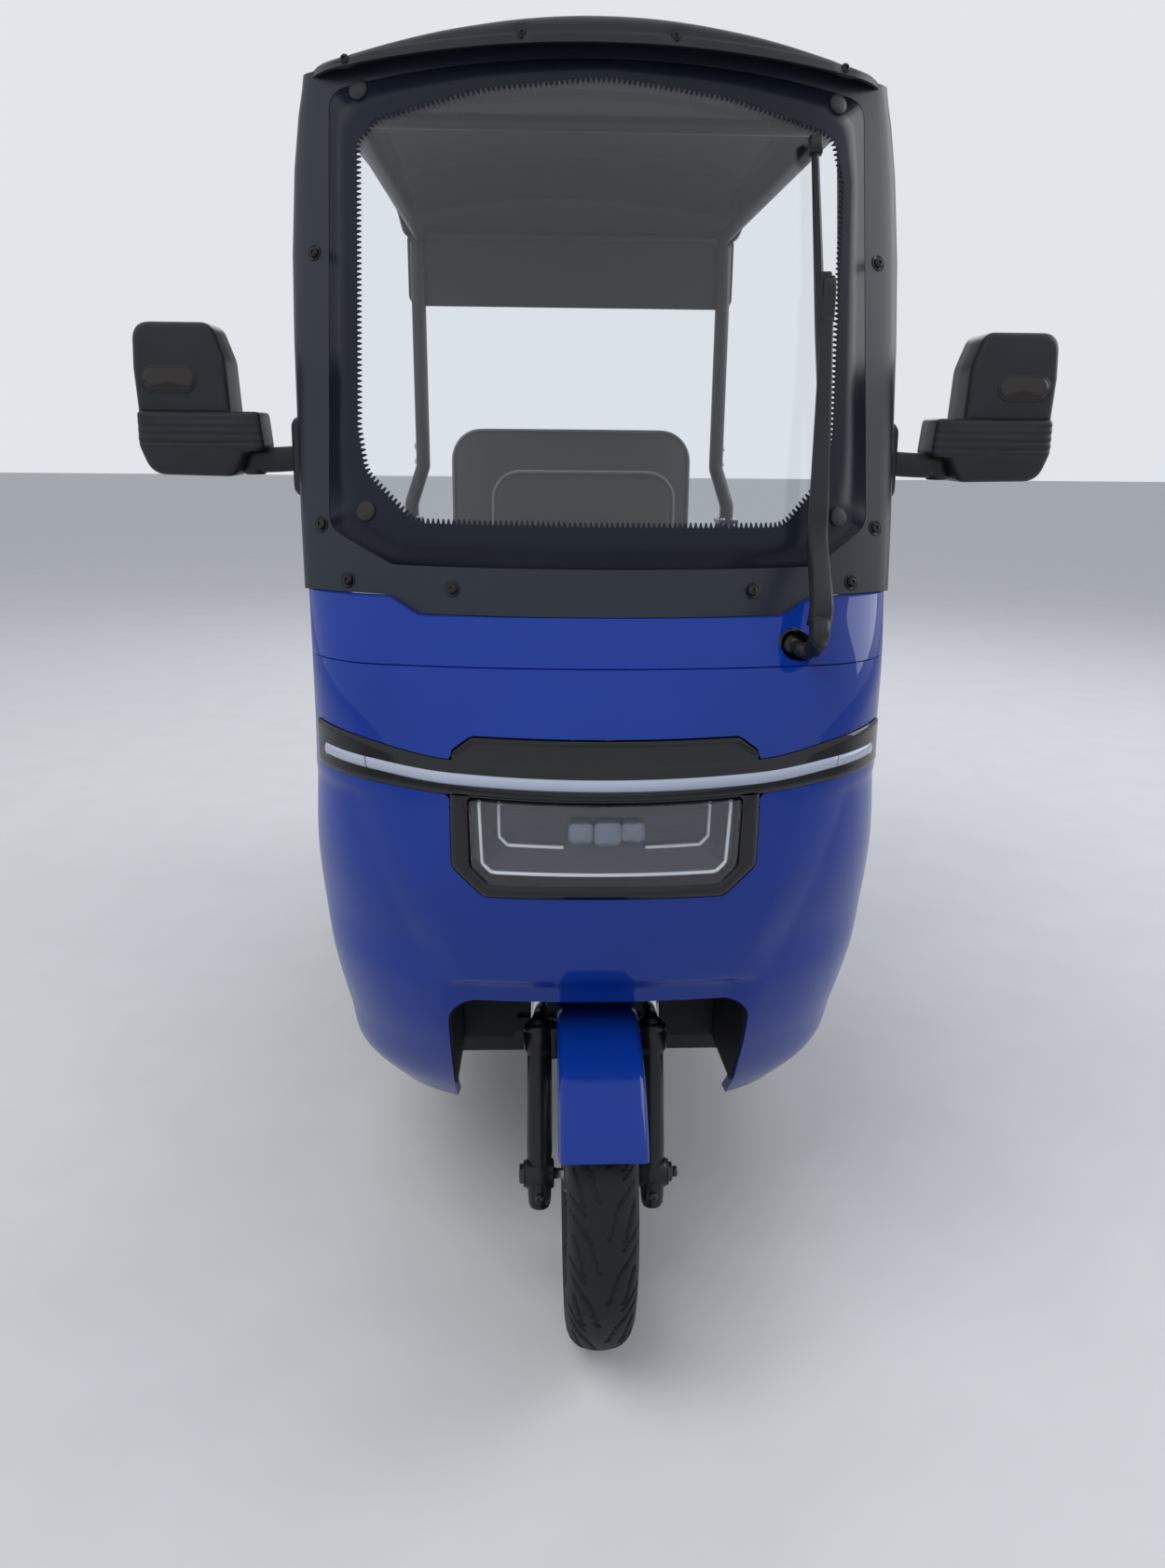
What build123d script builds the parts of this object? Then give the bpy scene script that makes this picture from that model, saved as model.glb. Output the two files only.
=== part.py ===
from build123d import *
import math
import os

os.makedirs("parts", exist_ok=True)

# The nose points along -Y and the driver's left is +X. Lengths are in millimetres.
# Overall layout
front_axle_y = -840.0
wheelbase = 1540.0
rear_axle_y = front_axle_y + wheelbase
rear_end_y = rear_axle_y + 350.0
rear_track = 620.0
floor_z = 270.0
floor_thickness = 22.0
floor_half_width = 330.0
sill_front_y = -520.0
sheet = 4.0              # wall of the moulded body panels
seam = 1.5               # open line between two body panels
gap = 0.3                # rest clearance between pieces that only touch
fit = 0.05               # radial clearance of a shaft that turns in its bore

# Wheels
tyre_radius = 210.0
tyre_half_width = 42.0
bead_radius = 125.0
rim_half_width = 25.0
flange_thickness = 4.0
flange_radius = 133.0
hub_radius = 26.0
hub_half_length = 42.0
spoke_count = 5
axle_radius = 7.0
drum_radius = 88.0
disc_radius = 82.0
disc_thickness = 4.0

# Steering head and fork: lengths along the raked axis, from a point at the base height
rake = 20.0
fork_base_z = 210.0
fork_offset = 30.0
leg_spacing = 147.0
leg_radius = 16.5
tube_radius = 11.0
leg_bottom = -36.0
leg_top = 214.0
crown_bottom = 392.0
crown_thickness = 30.0
steerer_radius = 15.0
head_bottom = 428.0
head_top = 640.0
head_radius = 25.0
stem_top = 808.0
bar_radius = 11.0
bar_half_width = 300.0
grip_length = 115.0
grip_radius = 16.5
lug_radius = 20.0
lug_width = 40.0
seal_height = 34.0
seal_radius = 21.0

# Front fender
fender_inner_radius = 226.0
fender_thickness = 3.0
fender_half_width = 53.0
fender_front_angle = 38.0    # above the horizontal, in front of the axle
fender_rear_angle = 35.0     # above the horizontal, behind the axle
fender_skirt = 20.0

# Nose panels
cowl_rear_y = -600.0
seam_z = 885.0
cheek_turn = 20.0        # the rounded cheek ends this far behind its shoulder
cheek_share = 0.62       # how far the cheek bulges outwards, 0.5 being flat
arch_half_width = 186.0
arch_top_z = 474.0
arch_corner_radius = 42.0
liner_wall = 4.0
liner_back_y = -604.0
liner_low_z = 282.0
bar_low_z = 753.0
bar_high_z = 790.0
bar_end_y = -800.0
bar_flare_x = 296.0        # where the top edge starts to rise to a point
strip_z = 771.0
strip_height = 12.5
visor_half_width = 170.0
visor_high_z = 816.0
visor_cut = 20.0
bezel_half_width = 172.0
bezel_low_z = 632.0
bezel_chamfer = 36.0
lens_margin = 24.0
bezel_proud = 3.0

# Windscreen and its surround
screen_rake = 17.0
screen_half_width = 353.0
screen_bulge = 96.0
screen_base_y = -842.0
screen_base_z = 936.0
screen_top_z = 1580.0
surround_depth = 66.0
surround_wall = 6.0
glass_half_width = 321.0
glass_low_z = 988.0
glass_high_z = 1536.0
glass_crown = 20.0       # how far the top edge drops towards its corners
glass_cut_x = 68.0
glass_cut_z = 44.0
glass_thickness = 4.0
glass_lap = 26.0
surround_step_x = 210.0
surround_step = 19.0

# Roof
roof_front_y = -678.0
roof_rear_y = 572.0
lip_centre_z = 1547.0
lip_end_z = 1519.0
roof_turn = 30.0         # how far the rounded shoulder reaches in from the side
drop_panel_low_z = 1392.0
drop_panel_half_width = 346.0

# Cabin tubes
dash_tube_y = -642.0
dash_tube_z = 665.0
down_tube_y = -586.0
front_cross_y = -530.0   # first cross member of the main frame
rail_x = 200.0
rail_size = 40.0
pillar_x = 317.0
rail_z = 1526.0

# Rear posts
post_radius = 15.0
post_x = 324.0
post_y = 532.0
post_foot_z = 952.0
post_foot_x = 352.0

# Seats
driver_seat_width = 352.0
driver_seat_front_y = -330.0
driver_seat_back_y = 62.0
driver_seat_top_z = 610.0
driver_back_top_z = 1075.0
cushion_thickness = 90.0
back_thickness = 62.0
seat_box_top_z = 500.0
seat_lid_thickness = 14.0
driver_seat_x = 12.0     # the seat stands a little off the centre line
hinge_y = -337.0
hinge_z = 492.0
hinge_radius = 6.0
hinge_pin_radius = 2.5
battery_top_z = 470.0
rear_seat_width = 527.0
rear_seat_front_y = 150.0
rear_seat_back_y = 500.0
rear_seat_top_z = 690.0
rear_back_top_z = 1150.0

# Rear body
body_half_width = 372.0
body_front_y = 120.0
body_rear_y = rear_axle_y + 310.0
body_low_z = 300.0
rim_flange = 26.0         # width of the rolled edge along the top
rear_arch_radius = 246.0
deck_z = 640.0
deck_front_y = 540.0
deck_centre_y = rear_axle_y + 80.0
deck_bolt_x = 200.0
deck_bolt_y = 120.0
deck_bolt_radius = 4.5
kick_low_z = 400.0       # underside of the frame above the rear axle
kick_y = rear_axle_y - 220.0    # where the frame starts to rise

axle_z = tyre_radius
sin_rake = math.sin(math.radians(rake))
cos_rake = math.cos(math.radians(rake))
sin_screen = math.sin(math.radians(screen_rake))
cos_screen = math.cos(math.radians(screen_rake))
tan_screen = sin_screen / cos_screen
fork_drop = (fork_base_z - axle_z) / cos_rake     # from the base height down to the axle

fork_base_y = front_axle_y + fork_drop * sin_rake
fork_plane = Plane(origin=(0, fork_base_y, fork_base_z), x_dir=(1, 0, 0), z_dir=(0, sin_rake, cos_rake))
at_base = (Align.CENTER, Align.CENTER, Align.MIN)


def save(name, *shapes):
    """Writes the solids of one node."""
    solids = [solid for shape in shapes for solid in shape.solids()]
    export_step(Compound(children=solids) if len(solids) > 1 else solids[0], f"parts/{name}.step")


def block(x0, x1, y0, y1, z0, z1):
    """A box between two corners."""
    return Pos((x0 + x1) / 2, (y0 + y1) / 2, (z0 + z1) / 2) * Box(x1 - x0, y1 - y0, z1 - z0)


def both_sides(shape):
    """A piece and its mirror image across the centre plane."""
    return [shape, mirror(shape, about=Plane.YZ)]


def rod(points, bend, radius):
    """A round bar or tube along straight runs joined by bends."""
    path = FilletPolyline(*points, radius=bend) if len(points) > 2 else Line(*points)
    start = Plane(origin=path @ 0, z_dir=path % 0)
    return sweep(start * Circle(radius), path=path)


def front_prism(outline, y0, y1):
    """A closed outline of (x, z) points, seen from the front, run along Y."""
    face = Plane.XZ * make_face(Polyline(*outline, close=True))
    return Pos(0, y1, 0) * extrude(face, amount=y1 - y0)


def side_prism(outline, x0, x1):
    """A closed outline of (y, z) points, seen from the side, run along X."""
    face = Plane.YZ * make_face(Polyline(*outline, close=True))
    return Pos(x0, 0, 0) * extrude(face, amount=x1 - x0)


# Wheels
def wheel_spin(face_curve):
    """A half profile of (x, r) turned about the axle."""
    return revolve(Plane.XY * make_face(face_curve), axis=Axis.X)


def tyre():
    """Carcass in straight facets: bead, side wall, shoulder and a nearly flat crown."""
    bead = rim_half_width - gap
    foot = rim_half_width + flange_thickness + gap
    half, top = tyre_half_width, tyre_radius
    right = [(bead, bead_radius + gap), (bead, flange_radius + gap), (foot, flange_radius + gap),
             (half, top - 36), (half * 0.88, top - 14), (half * 0.45, top)]
    left = [(-x, r) for x, r in reversed(right)]
    return wheel_spin(Polyline(*right, *left, close=True))


def rim(brake):
    """Rim barrel, flanges, hub and spokes, with the brake that the wheel carries."""
    w, t = rim_half_width, flange_thickness
    barrel = wheel_spin(Polyline(
        (-w, bead_radius), (w, bead_radius), (w, flange_radius), (w + t, flange_radius),
        (w + t, bead_radius - 8), (-w - t, bead_radius - 8), (-w - t, flange_radius), (-w, flange_radius),
        close=True))
    turn = Rot(0, 90, 0)
    wheel = barrel + turn * Cylinder(hub_radius, 2 * hub_half_length)
    spoke_length = bead_radius - 5 - hub_radius + 6
    spoke = Pos(0, 0, hub_radius - 6) * Box(18, 24, spoke_length, align=at_base)
    for index in range(spoke_count):
        wheel += Rot(360 / spoke_count * index, 0, 0) * spoke
    if brake == "disc":
        wheel += Pos(hub_half_length - disc_thickness / 2, 0, 0) * turn * Cylinder(disc_radius, disc_thickness)
    else:
        wheel += Pos(-22, 0, 0) * turn * Cylinder(drum_radius, 20)
    return wheel - turn * Cylinder(axle_radius + fit, 4 * hub_half_length)


def front_wheel():
    place = Pos(0, front_axle_y, axle_z)
    save("front_tyre", place * tyre())
    save("front_rim", place * rim("disc"))


def rear_wheels():
    for side, name in ((1, "left"), (-1, "right")):
        place = Pos(side * rear_track / 2, rear_axle_y, axle_z)
        save(f"rear_tyre_{name}", place * tyre())
        hub = rim("drum")
        save(f"rear_rim_{name}", place * (hub if side > 0 else mirror(hub, about=Plane.YZ)))


# Fork, fender and handlebar
def fork_cylinder(x, y, low, high, radius):
    """A round piece along the raked steering direction."""
    return fork_plane * Pos(x, y, low) * Cylinder(radius, high - low, align=at_base)


def fork():
    half = leg_spacing / 2
    legs = []
    for x in (-half, half):
        leg = fork_cylinder(x, 0, leg_bottom - fork_drop, leg_top, leg_radius)
        leg += fork_cylinder(x, 0, leg_top - seal_height, leg_top, seal_radius)
        leg += Pos(x, front_axle_y, axle_z) * Rot(0, 90, 0) * Cylinder(lug_radius, lug_width)
        legs.append(leg - Pos(x, front_axle_y, axle_z) * Rot(0, 90, 0) * Cylinder(axle_radius + fit, 60))
    save("fork_legs", *legs)

    corners = [(-half, 0), (half, 0), (0, fork_offset)]
    outline = make_hull([Pos(x, y) * edge for x, y in corners for edge in Circle(seal_radius).edges()])
    tubes = fork_plane * Pos(0, 0, crown_bottom) * extrude(outline, amount=crown_thickness)
    for x in (-half, half):
        tubes += fork_cylinder(x, 0, leg_top, crown_bottom + crown_thickness, tube_radius)
    tubes += fork_cylinder(0, fork_offset, crown_bottom, head_top + 30, steerer_radius)
    save("fork_tubes", tubes)

    reach = half + lug_width / 2
    axle = Rot(0, 90, 0) * Cylinder(axle_radius, 2 * reach)
    for side in (-1, 1):
        axle += Pos(side * (reach + 5), 0, 0) * Rot(0, 90, 0) * Cylinder(14, 10)
    save("front_axle", Pos(0, front_axle_y, axle_z) * axle)


def fender():
    """A curved strip over the tyre with short skirts down its sides."""
    outer = fender_inner_radius + fender_thickness
    ring = Rot(0, 90, 0) * (Cylinder(outer, 2 * fender_half_width)
                            - Cylinder(fender_inner_radius, 2 * fender_half_width - 2 * fender_thickness)
                            - Cylinder(fender_inner_radius - fender_skirt, 2 * fender_half_width + 2))
    reach = 2 * outer
    front = math.radians(fender_front_angle)
    rear = math.radians(fender_rear_angle)
    wedge = side_prism([(0, 0), (-reach * math.cos(front), reach * math.sin(front)),
                        (-reach * math.cos(front), reach), (reach * math.cos(rear), reach),
                        (reach * math.cos(rear), reach * math.sin(rear))], -200, 200)
    shell = Pos(0, front_axle_y, axle_z) * (ring & wedge)
    inner_x = fender_half_width - fender_thickness
    reach_x = leg_spacing / 2 - leg_radius + 1 - inner_x     # from the fender's side to the leg
    for side in (-1, 1):
        plate = Pos(side * (inner_x + fender_thickness / 2), 0, 150 - fork_drop)
        plate *= Box(fender_thickness, 26, 62, align=at_base)
        boss = Pos(side * (inner_x + reach_x / 2), 0, 165 - fork_drop) * Rot(0, 90, 0) * Cylinder(8, reach_x)
        shell += fork_plane * (plate + boss)
    for x in (-leg_spacing / 2, leg_spacing / 2):
        shell -= fork_cylinder(x, 0, -300, leg_top, leg_radius + gap)
        shell -= fork_cylinder(x, 0, leg_top - seal_height - gap, leg_top + 60, seal_radius + gap)
    save("front_fender", shell)


def handlebar():
    centre = fork_plane.from_local_coords(Vector(0, fork_offset, stem_top))
    stem_low = head_top + 30
    stem = fork_cylinder(0, fork_offset, stem_low + gap, stem_top, steerer_radius)
    end_y, end_z = centre.Y + 62, centre.Z + 8
    inner_x = bar_half_width - grip_length - 40
    slope = 18 / (grip_length + 40)
    right = [(70, centre.Y, centre.Z), (inner_x, end_y - 18, end_z), (bar_half_width, end_y, end_z)]
    left = [(-x, y, z) for x, y, z in reversed(right)]
    bar = rod([*left, *right], 30, bar_radius)
    pod = Pos(0, centre.Y, centre.Z - 4) * Box(120, 84, 44)
    save("handlebar", bar + stem + fillet(pod.edges().filter_by(Axis.Z), 16))
    grips = []
    for side in (-1, 1):
        low = Vector(side * (bar_half_width - grip_length), end_y - slope * grip_length, end_z)
        high = Vector(side * (bar_half_width + 4), end_y + slope * 4, end_z)
        plane = Plane(origin=low, z_dir=high - low)
        grips.append(plane * Cylinder(grip_radius, (high - low).length, align=at_base) - bar)
    save("handlebar_grips", *grips)


# Nose panels
# z, half width, y of the shoulder, x and y of the facet edge, y of the nose
nose_sections = (
    (262, 256, -660, 150, -745, -752),
    (310, 300, -690, 154, -792, -798),
    (400, 326, -728, 160, -850, -860),
    (500, 341, -765, 172, -888, -900),
    (640, 351, -785, 212, -912, -936),
    (775, 345, -785, 254, -880, -951),
    (885, 343, -790, 262, -852, -884),
    (960, 350, -752, 250, -804, -824),
)


def plan_face(row, inset):
    """The nose seen from above at one height, as a closed face set in by a wall."""
    z, half, shoulder_y, facet_x, facet_y, nose_y = row
    half -= inset
    facet_x -= inset * 0.4
    shoulder_y += cheek_turn + inset * 0.5
    facet_y += inset
    nose_y += inset
    cheek_x = facet_x + cheek_share * (half - facet_x)
    cheek_y = facet_y + (1 - cheek_share) * (shoulder_y - facet_y)
    rear_y = cowl_rear_y + (40 if inset > 0 else 0)
    face = make_face([
        Line((-half, rear_y), (-half, shoulder_y)),
        ThreePointArc((-half, shoulder_y), (-cheek_x, cheek_y), (-facet_x, facet_y)),
        ThreePointArc((-facet_x, facet_y), (0, nose_y), (facet_x, facet_y)),
        ThreePointArc((facet_x, facet_y), (cheek_x, cheek_y), (half, shoulder_y)),
        Line((half, shoulder_y), (half, rear_y)),
        Line((half, rear_y), (-half, rear_y)),
    ])
    return Pos(0, 0, z) * face


def nose_form(inset):
    """The whole nose as a solid, smaller all round by the inset."""
    return loft([plan_face(row, inset) for row in nose_sections], ruled=True)


def arch_cut():
    """The opening above the front wheel, run along Y."""
    face = Rectangle(2 * arch_half_width, 2 * arch_top_z)
    face = fillet(face.vertices(), arch_corner_radius)
    return Pos(0, cowl_rear_y + 60, 0) * extrude(Plane.XZ * face, amount=500)


def windscreen_solid(front_offset, thickness, half_width):
    """A raked sheet with a curved plan, set behind the outer face by the offset."""
    bulge = screen_bulge * (half_width / screen_half_width) ** 2 * cos_screen
    front, back = front_offset * cos_screen, (front_offset + thickness) * cos_screen
    outline = make_face([
        ThreePointArc((-half_width, front + bulge), (0, front), (half_width, front + bulge)),
        Line((half_width, front + bulge), (half_width, back + bulge)),
        ThreePointArc((half_width, back + bulge), (0, back), (-half_width, back + bulge)),
        Line((-half_width, back + bulge), (-half_width, front + bulge)),
    ])
    base = Plane(origin=(0, screen_base_y, screen_base_z), x_dir=(1, 0, 0), z_dir=(0, sin_screen, cos_screen))
    return base * Pos(0, 0, -200) * extrude(outline, amount=1100)


def bar_outline(grow):
    """The black bar seen from the front, with its top edge rising to a point at each end."""
    far, slope = 600, 0.5
    low, high = bar_low_z - grow, bar_high_z + grow
    return [(-far, low), (far, low), (far, high + slope * (far - bar_flare_x)), (bar_flare_x, high),
            (-bar_flare_x, high), (-far, high + slope * (far - bar_flare_x))]


def visor_outline(grow):
    """The black panel above the light bar, with its top corners cut off."""
    half, high, cut = visor_half_width + grow, visor_high_z + grow, visor_cut
    return [(-half, bar_low_z), (half, bar_low_z), (half, high - cut * 0.7), (half - cut, high),
            (-half + cut, high), (-half, high - cut * 0.7)]


def bezel_outline(grow):
    """The headlamp bezel, with its bottom corners cut off."""
    half, low, cut = bezel_half_width + grow, bezel_low_z - grow, bezel_chamfer
    return [(-half, bar_low_z), (-half, low + cut), (-half + cut, low), (half - cut, low),
            (half, low + cut), (half, bar_low_z)]


def lens_outline(inset):
    half, cut = bezel_half_width - lens_margin - inset, 14
    low, high = bezel_low_z + 14 + inset, bar_low_z - 8 - inset
    return [(-half, high), (-half, low + cut), (-half + cut, low),
            (half - cut, low), (half, low + cut), (half, high)]


def cowl_top_outline():
    """Everything above the stepped lower edge of the windscreen surround."""
    step_z = screen_base_z + surround_step
    outer_x = surround_step_x + 34
    return [(-600, 1200), (-600, step_z), (-outer_x, step_z), (-surround_step_x, screen_base_z),
            (surround_step_x, screen_base_z), (outer_x, step_z), (600, step_z), (600, 1200)]


def nose_piece(outline, y1=-840):
    """A prism through the front of the nose, back to a plane."""
    return front_prism(outline, -1100, y1)


def nose():
    outer, inner = nose_form(0), nose_form(sheet)
    proud = nose_form(-bezel_proud)
    shell = outer - inner - arch_cut()
    bar_band = nose_piece(bar_outline(0), bar_end_y)
    visor = nose_piece(visor_outline(0))
    bezel = nose_piece(bezel_outline(0))
    strip_low, strip_high = strip_z - strip_height / 2, strip_z + strip_height / 2
    strip = block(-600, 600, -1100, bar_end_y - 6, strip_low, strip_high)
    cut = nose_piece(bar_outline(gap), bar_end_y + gap)
    cut += nose_piece(visor_outline(gap))
    cut += nose_piece(bezel_outline(gap))
    save("front_cowl", (shell & block(-500, 500, -1100, cowl_rear_y, 200, seam_z - seam / 2)) - cut)

    upper = shell & block(-500, 500, -1100, cowl_rear_y, seam_z + seam / 2, 1000)
    lap = nose_form(sheet + gap) - nose_form(sheet + gap + 3)
    upper += lap & block(-500, 500, -1100, cowl_rear_y, seam_z - 14, seam_z + 8)
    tie = nose_form(sheet - 1) - nose_form(sheet + gap + 3)
    upper += tie & block(-500, 500, -1100, cowl_rear_y, seam_z + seam / 2, seam_z + 8)
    save("upper_cowl", upper - nose_piece(cowl_top_outline(), -400) - wiper_spindle(gap))

    black = (proud - nose_form(sheet + 6)) & (bar_band + visor)
    save("light_bar", black - (strip & (proud - outer)))
    save("light_bar_strip", strip & (nose_form(-bezel_proud - 1) - outer))
    bezel_wall = (proud - nose_form(sheet + 22)) & (bezel & block(-500, 500, -1100, -700, 500, bar_low_z - gap))
    save("headlamp_bezel", bezel_wall - nose_piece(lens_outline(0)))
    save("headlamp_lens", (proud - nose_form(1)) & nose_piece(lens_outline(gap)))
    save("headlamp_unit", (nose_form(14) - nose_form(58)) & nose_piece(lens_outline(gap)))


def surround_outline():
    """The windscreen surround seen from the front, inside the roof lip and above the cowl."""
    half, base, step_z = screen_half_width, screen_base_z, screen_base_z + surround_step
    outer_x = surround_step_x + 34
    return [(-half, screen_top_z), (-half, step_z), (-outer_x, step_z), (-surround_step_x, base),
            (surround_step_x, base), (outer_x, step_z), (half, step_z), (half, screen_top_z)]


def glass_outline(inset):
    """The glazing panel seen from the front, with its bottom corners cut off."""
    half, low, high = glass_half_width - inset, glass_low_z + inset, glass_high_z - inset
    cut_x, cut_z, crown = glass_cut_x, glass_cut_z, glass_crown
    edges = [
        Line((-half, low + cut_z), (-half + cut_x, low)),
        Line((-half + cut_x, low), (half - cut_x, low)),
        Line((half - cut_x, low), (half, low + cut_z)),
        Line((half, low + cut_z), (half, high - crown)),
        ThreePointArc((half, high - crown), (0, high), (-half, high - crown)),
        Line((-half, high - crown), (-half, low + cut_z)),
    ]
    face = make_face(edges)
    return fillet(face.vertices().filter_by(lambda v: v.Y > 1300), 30)


def window_prism(inset):
    return Pos(0, -300, 0) * extrude(Plane.XZ * glass_outline(inset), amount=900)


def windscreen():
    body = windscreen_solid(0, surround_depth, screen_half_width)
    hollow = windscreen_solid(surround_wall + 8, surround_depth + 40, screen_half_width - surround_wall)
    pocket = windscreen_solid(-20, 20 + glass_thickness + gap, screen_half_width)
    outline = front_prism(surround_outline(), -1100, -200)
    frame = (body & outline & lip_prism(gap)) - hollow
    frame -= pocket & window_prism(0)
    frame -= window_prism(glass_lap)
    save("windscreen_frame", frame)
    glass = windscreen_solid(0, glass_thickness, screen_half_width) & window_prism(1)
    save("windscreen", glass)


# Roof
# y, half width, lower edge, shoulder height, crown height
roof_sections = (
    (-690, 350, 1500, 1550, 1590),
    (-560, 352, 1510, 1574, 1630),
    (-300, 352, 1546, 1594, 1656),
    (100, 352, 1560, 1598, 1664),
    (420, 350, 1556, 1588, 1650),
    (572, 346, 1520, 1548, 1606),
)


def roof_face(row, inset):
    y, half, low, side, crown = row
    half -= inset
    side -= inset
    crown -= inset
    low -= 30 if inset > 0 else 0
    turn_x, turn_z = half - roof_turn, side + roof_turn * 0.62
    outline = [
        Line((-half, low), (-half, side)),
        ThreePointArc((-half, side), (-half + roof_turn * 0.28, side + roof_turn * 0.42), (-turn_x, turn_z)),
        ThreePointArc((-turn_x, turn_z), (0, crown), (turn_x, turn_z)),
        ThreePointArc((turn_x, turn_z), (half - roof_turn * 0.28, side + roof_turn * 0.42), (half, side)),
        Line((half, side), (half, low)),
        Line((half, low), (-half, low)),
    ]
    face = make_face(outline)
    return Plane(origin=(0, y, 0), x_dir=(1, 0, 0), z_dir=(0, -1, 0)) * face


def roof_plan(inset):
    """The roof seen from above: a curved front edge that follows the windscreen."""
    half, front, rear = 450, roof_front_y + inset, roof_rear_y - inset
    end_y = front + screen_bulge * (half / screen_half_width) ** 2
    face = make_face([
        ThreePointArc((-half, end_y), (0, front), (half, end_y)),
        Line((half, end_y), (half, rear)),
        Line((half, rear), (-half, rear)),
        Line((-half, rear), (-half, end_y)),
    ])
    return Pos(0, 0, 1300) * extrude(face, amount=500)


def lip_prism(drop):
    """Everything below the arched lower edge of the roof's front lip."""
    face = make_face([
        ThreePointArc((-450, lip_end_z - 16 - drop), (0, lip_centre_z - drop), (450, lip_end_z - 16 - drop)),
        Line((450, lip_end_z - 16 - drop), (450, 900)),
        Line((450, 900), (-450, 900)),
        Line((-450, 900), (-450, lip_end_z - 16 - drop)),
    ])
    return Pos(0, -500, 0) * extrude(Plane.XZ * face, amount=500)


def roof():
    outer = loft([roof_face(row, 0) for row in roof_sections], ruled=True) & roof_plan(0)
    inner = loft([roof_face(row, sheet) for row in roof_sections], ruled=True) & roof_plan(sheet)
    save("roof_panel", outer - inner - lip_prism(-gap))


def drop_panel():
    """The flat panel that hangs from the back of the roof, behind the posts."""
    y = post_y + post_radius + gap
    half = drop_panel_half_width
    panel = block(-half, half, y, y + 6, drop_panel_low_z, 1542)
    shell = loft([roof_face(row, 0) for row in roof_sections], ruled=True)
    shell -= loft([roof_face(row, sheet + gap) for row in roof_sections], ruled=True)
    save("rear_drop_panel", fillet(panel.edges().filter_by(Axis.Y), 22) - shell)


def cabin_frame():
    """Front pillars behind the windscreen surround, roof rails and cross bars as one tube frame."""
    x = pillar_x
    low = (x, screen_base_y + screen_bulge + 50, screen_base_z - 20)
    high = (x, low[1] + (1490 - low[2]) * tan_screen, 1490)
    side = rod([(x, dash_tube_y, dash_tube_z + 14.9), low, high, (x, high[1] + 50, rail_z),
                (x, post_y, rail_z)], 20, 12)
    frame = side + mirror(side, about=Plane.YZ)
    frame += rod([(-x, high[1] + 90, rail_z), (x, high[1] + 90, rail_z)], 1, 10)
    frame += rod([(-x, post_y - 20, rail_z), (x, post_y - 20, rail_z)], 1, 10)
    save("cabin_frame", frame)


def rear_posts():
    post = rod([(post_foot_x, post_y, post_foot_z), (post_foot_x, post_y, post_foot_z + 30),
                (post_x, post_y, post_foot_z + 110), (post_x, post_y, rail_z - 12 - gap)], 30, post_radius)
    plate = Pos(post_foot_x, post_y, post_foot_z - 8) * Box(44, 70, 8, align=at_base)
    save("rear_posts", *both_sides(post + plate))


# Mirrors: outlines seen from the front, as the distance out from the surround and z
mirror_y = -640.0
mirror_depth = 72.0
mirror_upper = ((93, 1156), (88, 1236), (103, 1254), (183, 1258), (199, 1242), (202, 1156))
mirror_lower = ((49, 1156), (47, 1106), (71, 1083), (185, 1087), (200, 1108), (197, 1156))
mirror_glass = ((83, 1110), (95, 1240), (183, 1244), (187, 1110))


def beside_surround(outline):
    return [(screen_half_width + x, z) for x, z in outline]


def mirrors():
    arm_base_x = screen_half_width + gap
    y0, y1 = mirror_y - mirror_depth / 2, mirror_y + mirror_depth / 2
    base = block(arm_base_x, arm_base_x + 14, mirror_y - 26, mirror_y + 26, 1062, 1150)
    upper = front_prism(beside_surround(mirror_upper), y0 + 6, y1)
    lower = front_prism(beside_surround(mirror_lower), y0, y1)
    upper = chamfer(upper.faces().sort_by(Axis.Y)[0].edges(), 7)
    housing = upper + chamfer(lower.faces().sort_by(Axis.Y)[0].edges(), 9)
    pocket = front_prism(beside_surround(mirror_glass), y1 - 6, y1 + 10)
    arm = rod([(arm_base_x + 8, mirror_y, 1102), (arm_base_x + 60, mirror_y, 1102)], 1, 11)
    glass = offset(make_face(Polyline(*beside_surround(mirror_glass), close=True)), -gap)
    glass = Pos(0, y1 - 1, 0) * extrude(Plane.XZ * glass, amount=5 - gap)
    housing -= pocket
    save("mirror_arms", *both_sides(base + (arm - housing)))
    save("mirror_housings", *both_sides(housing))
    save("mirror_glasses", *both_sides(glass))


# Wiper
wiper_x = 262.0
wiper_low_z = 1040.0
wiper_high_z = 1450.0


def wiper_spindle(grow):
    return Pos(236, -846, 920.5) * Rot(62, 0, 0) * Cylinder(16 + grow, 50)


def wiper():
    """Spindle, bent arm with its blade carrier, and the rubber blade in front of the glass."""
    y_mid = screen_base_y + screen_bulge * (wiper_x / screen_half_width) ** 2

    def before_glass(z, distance):
        return (wiper_x, y_mid - distance + (z - screen_base_z) * tan_screen, z)

    arm = rod([(236, -868, 932), before_glass(1000, 30), before_glass(1270, 30)], 12, 7)
    carrier = rod([before_glass(1270, 30), before_glass(1270, 8)], 1, 6)
    blade = rod([before_glass(wiper_low_z, 13), before_glass(wiper_high_z, 13)], 1, 5)
    save("wiper_arm", wiper_spindle(0) + arm + (carrier - blade))
    save("wiper_blade", blade)


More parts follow.
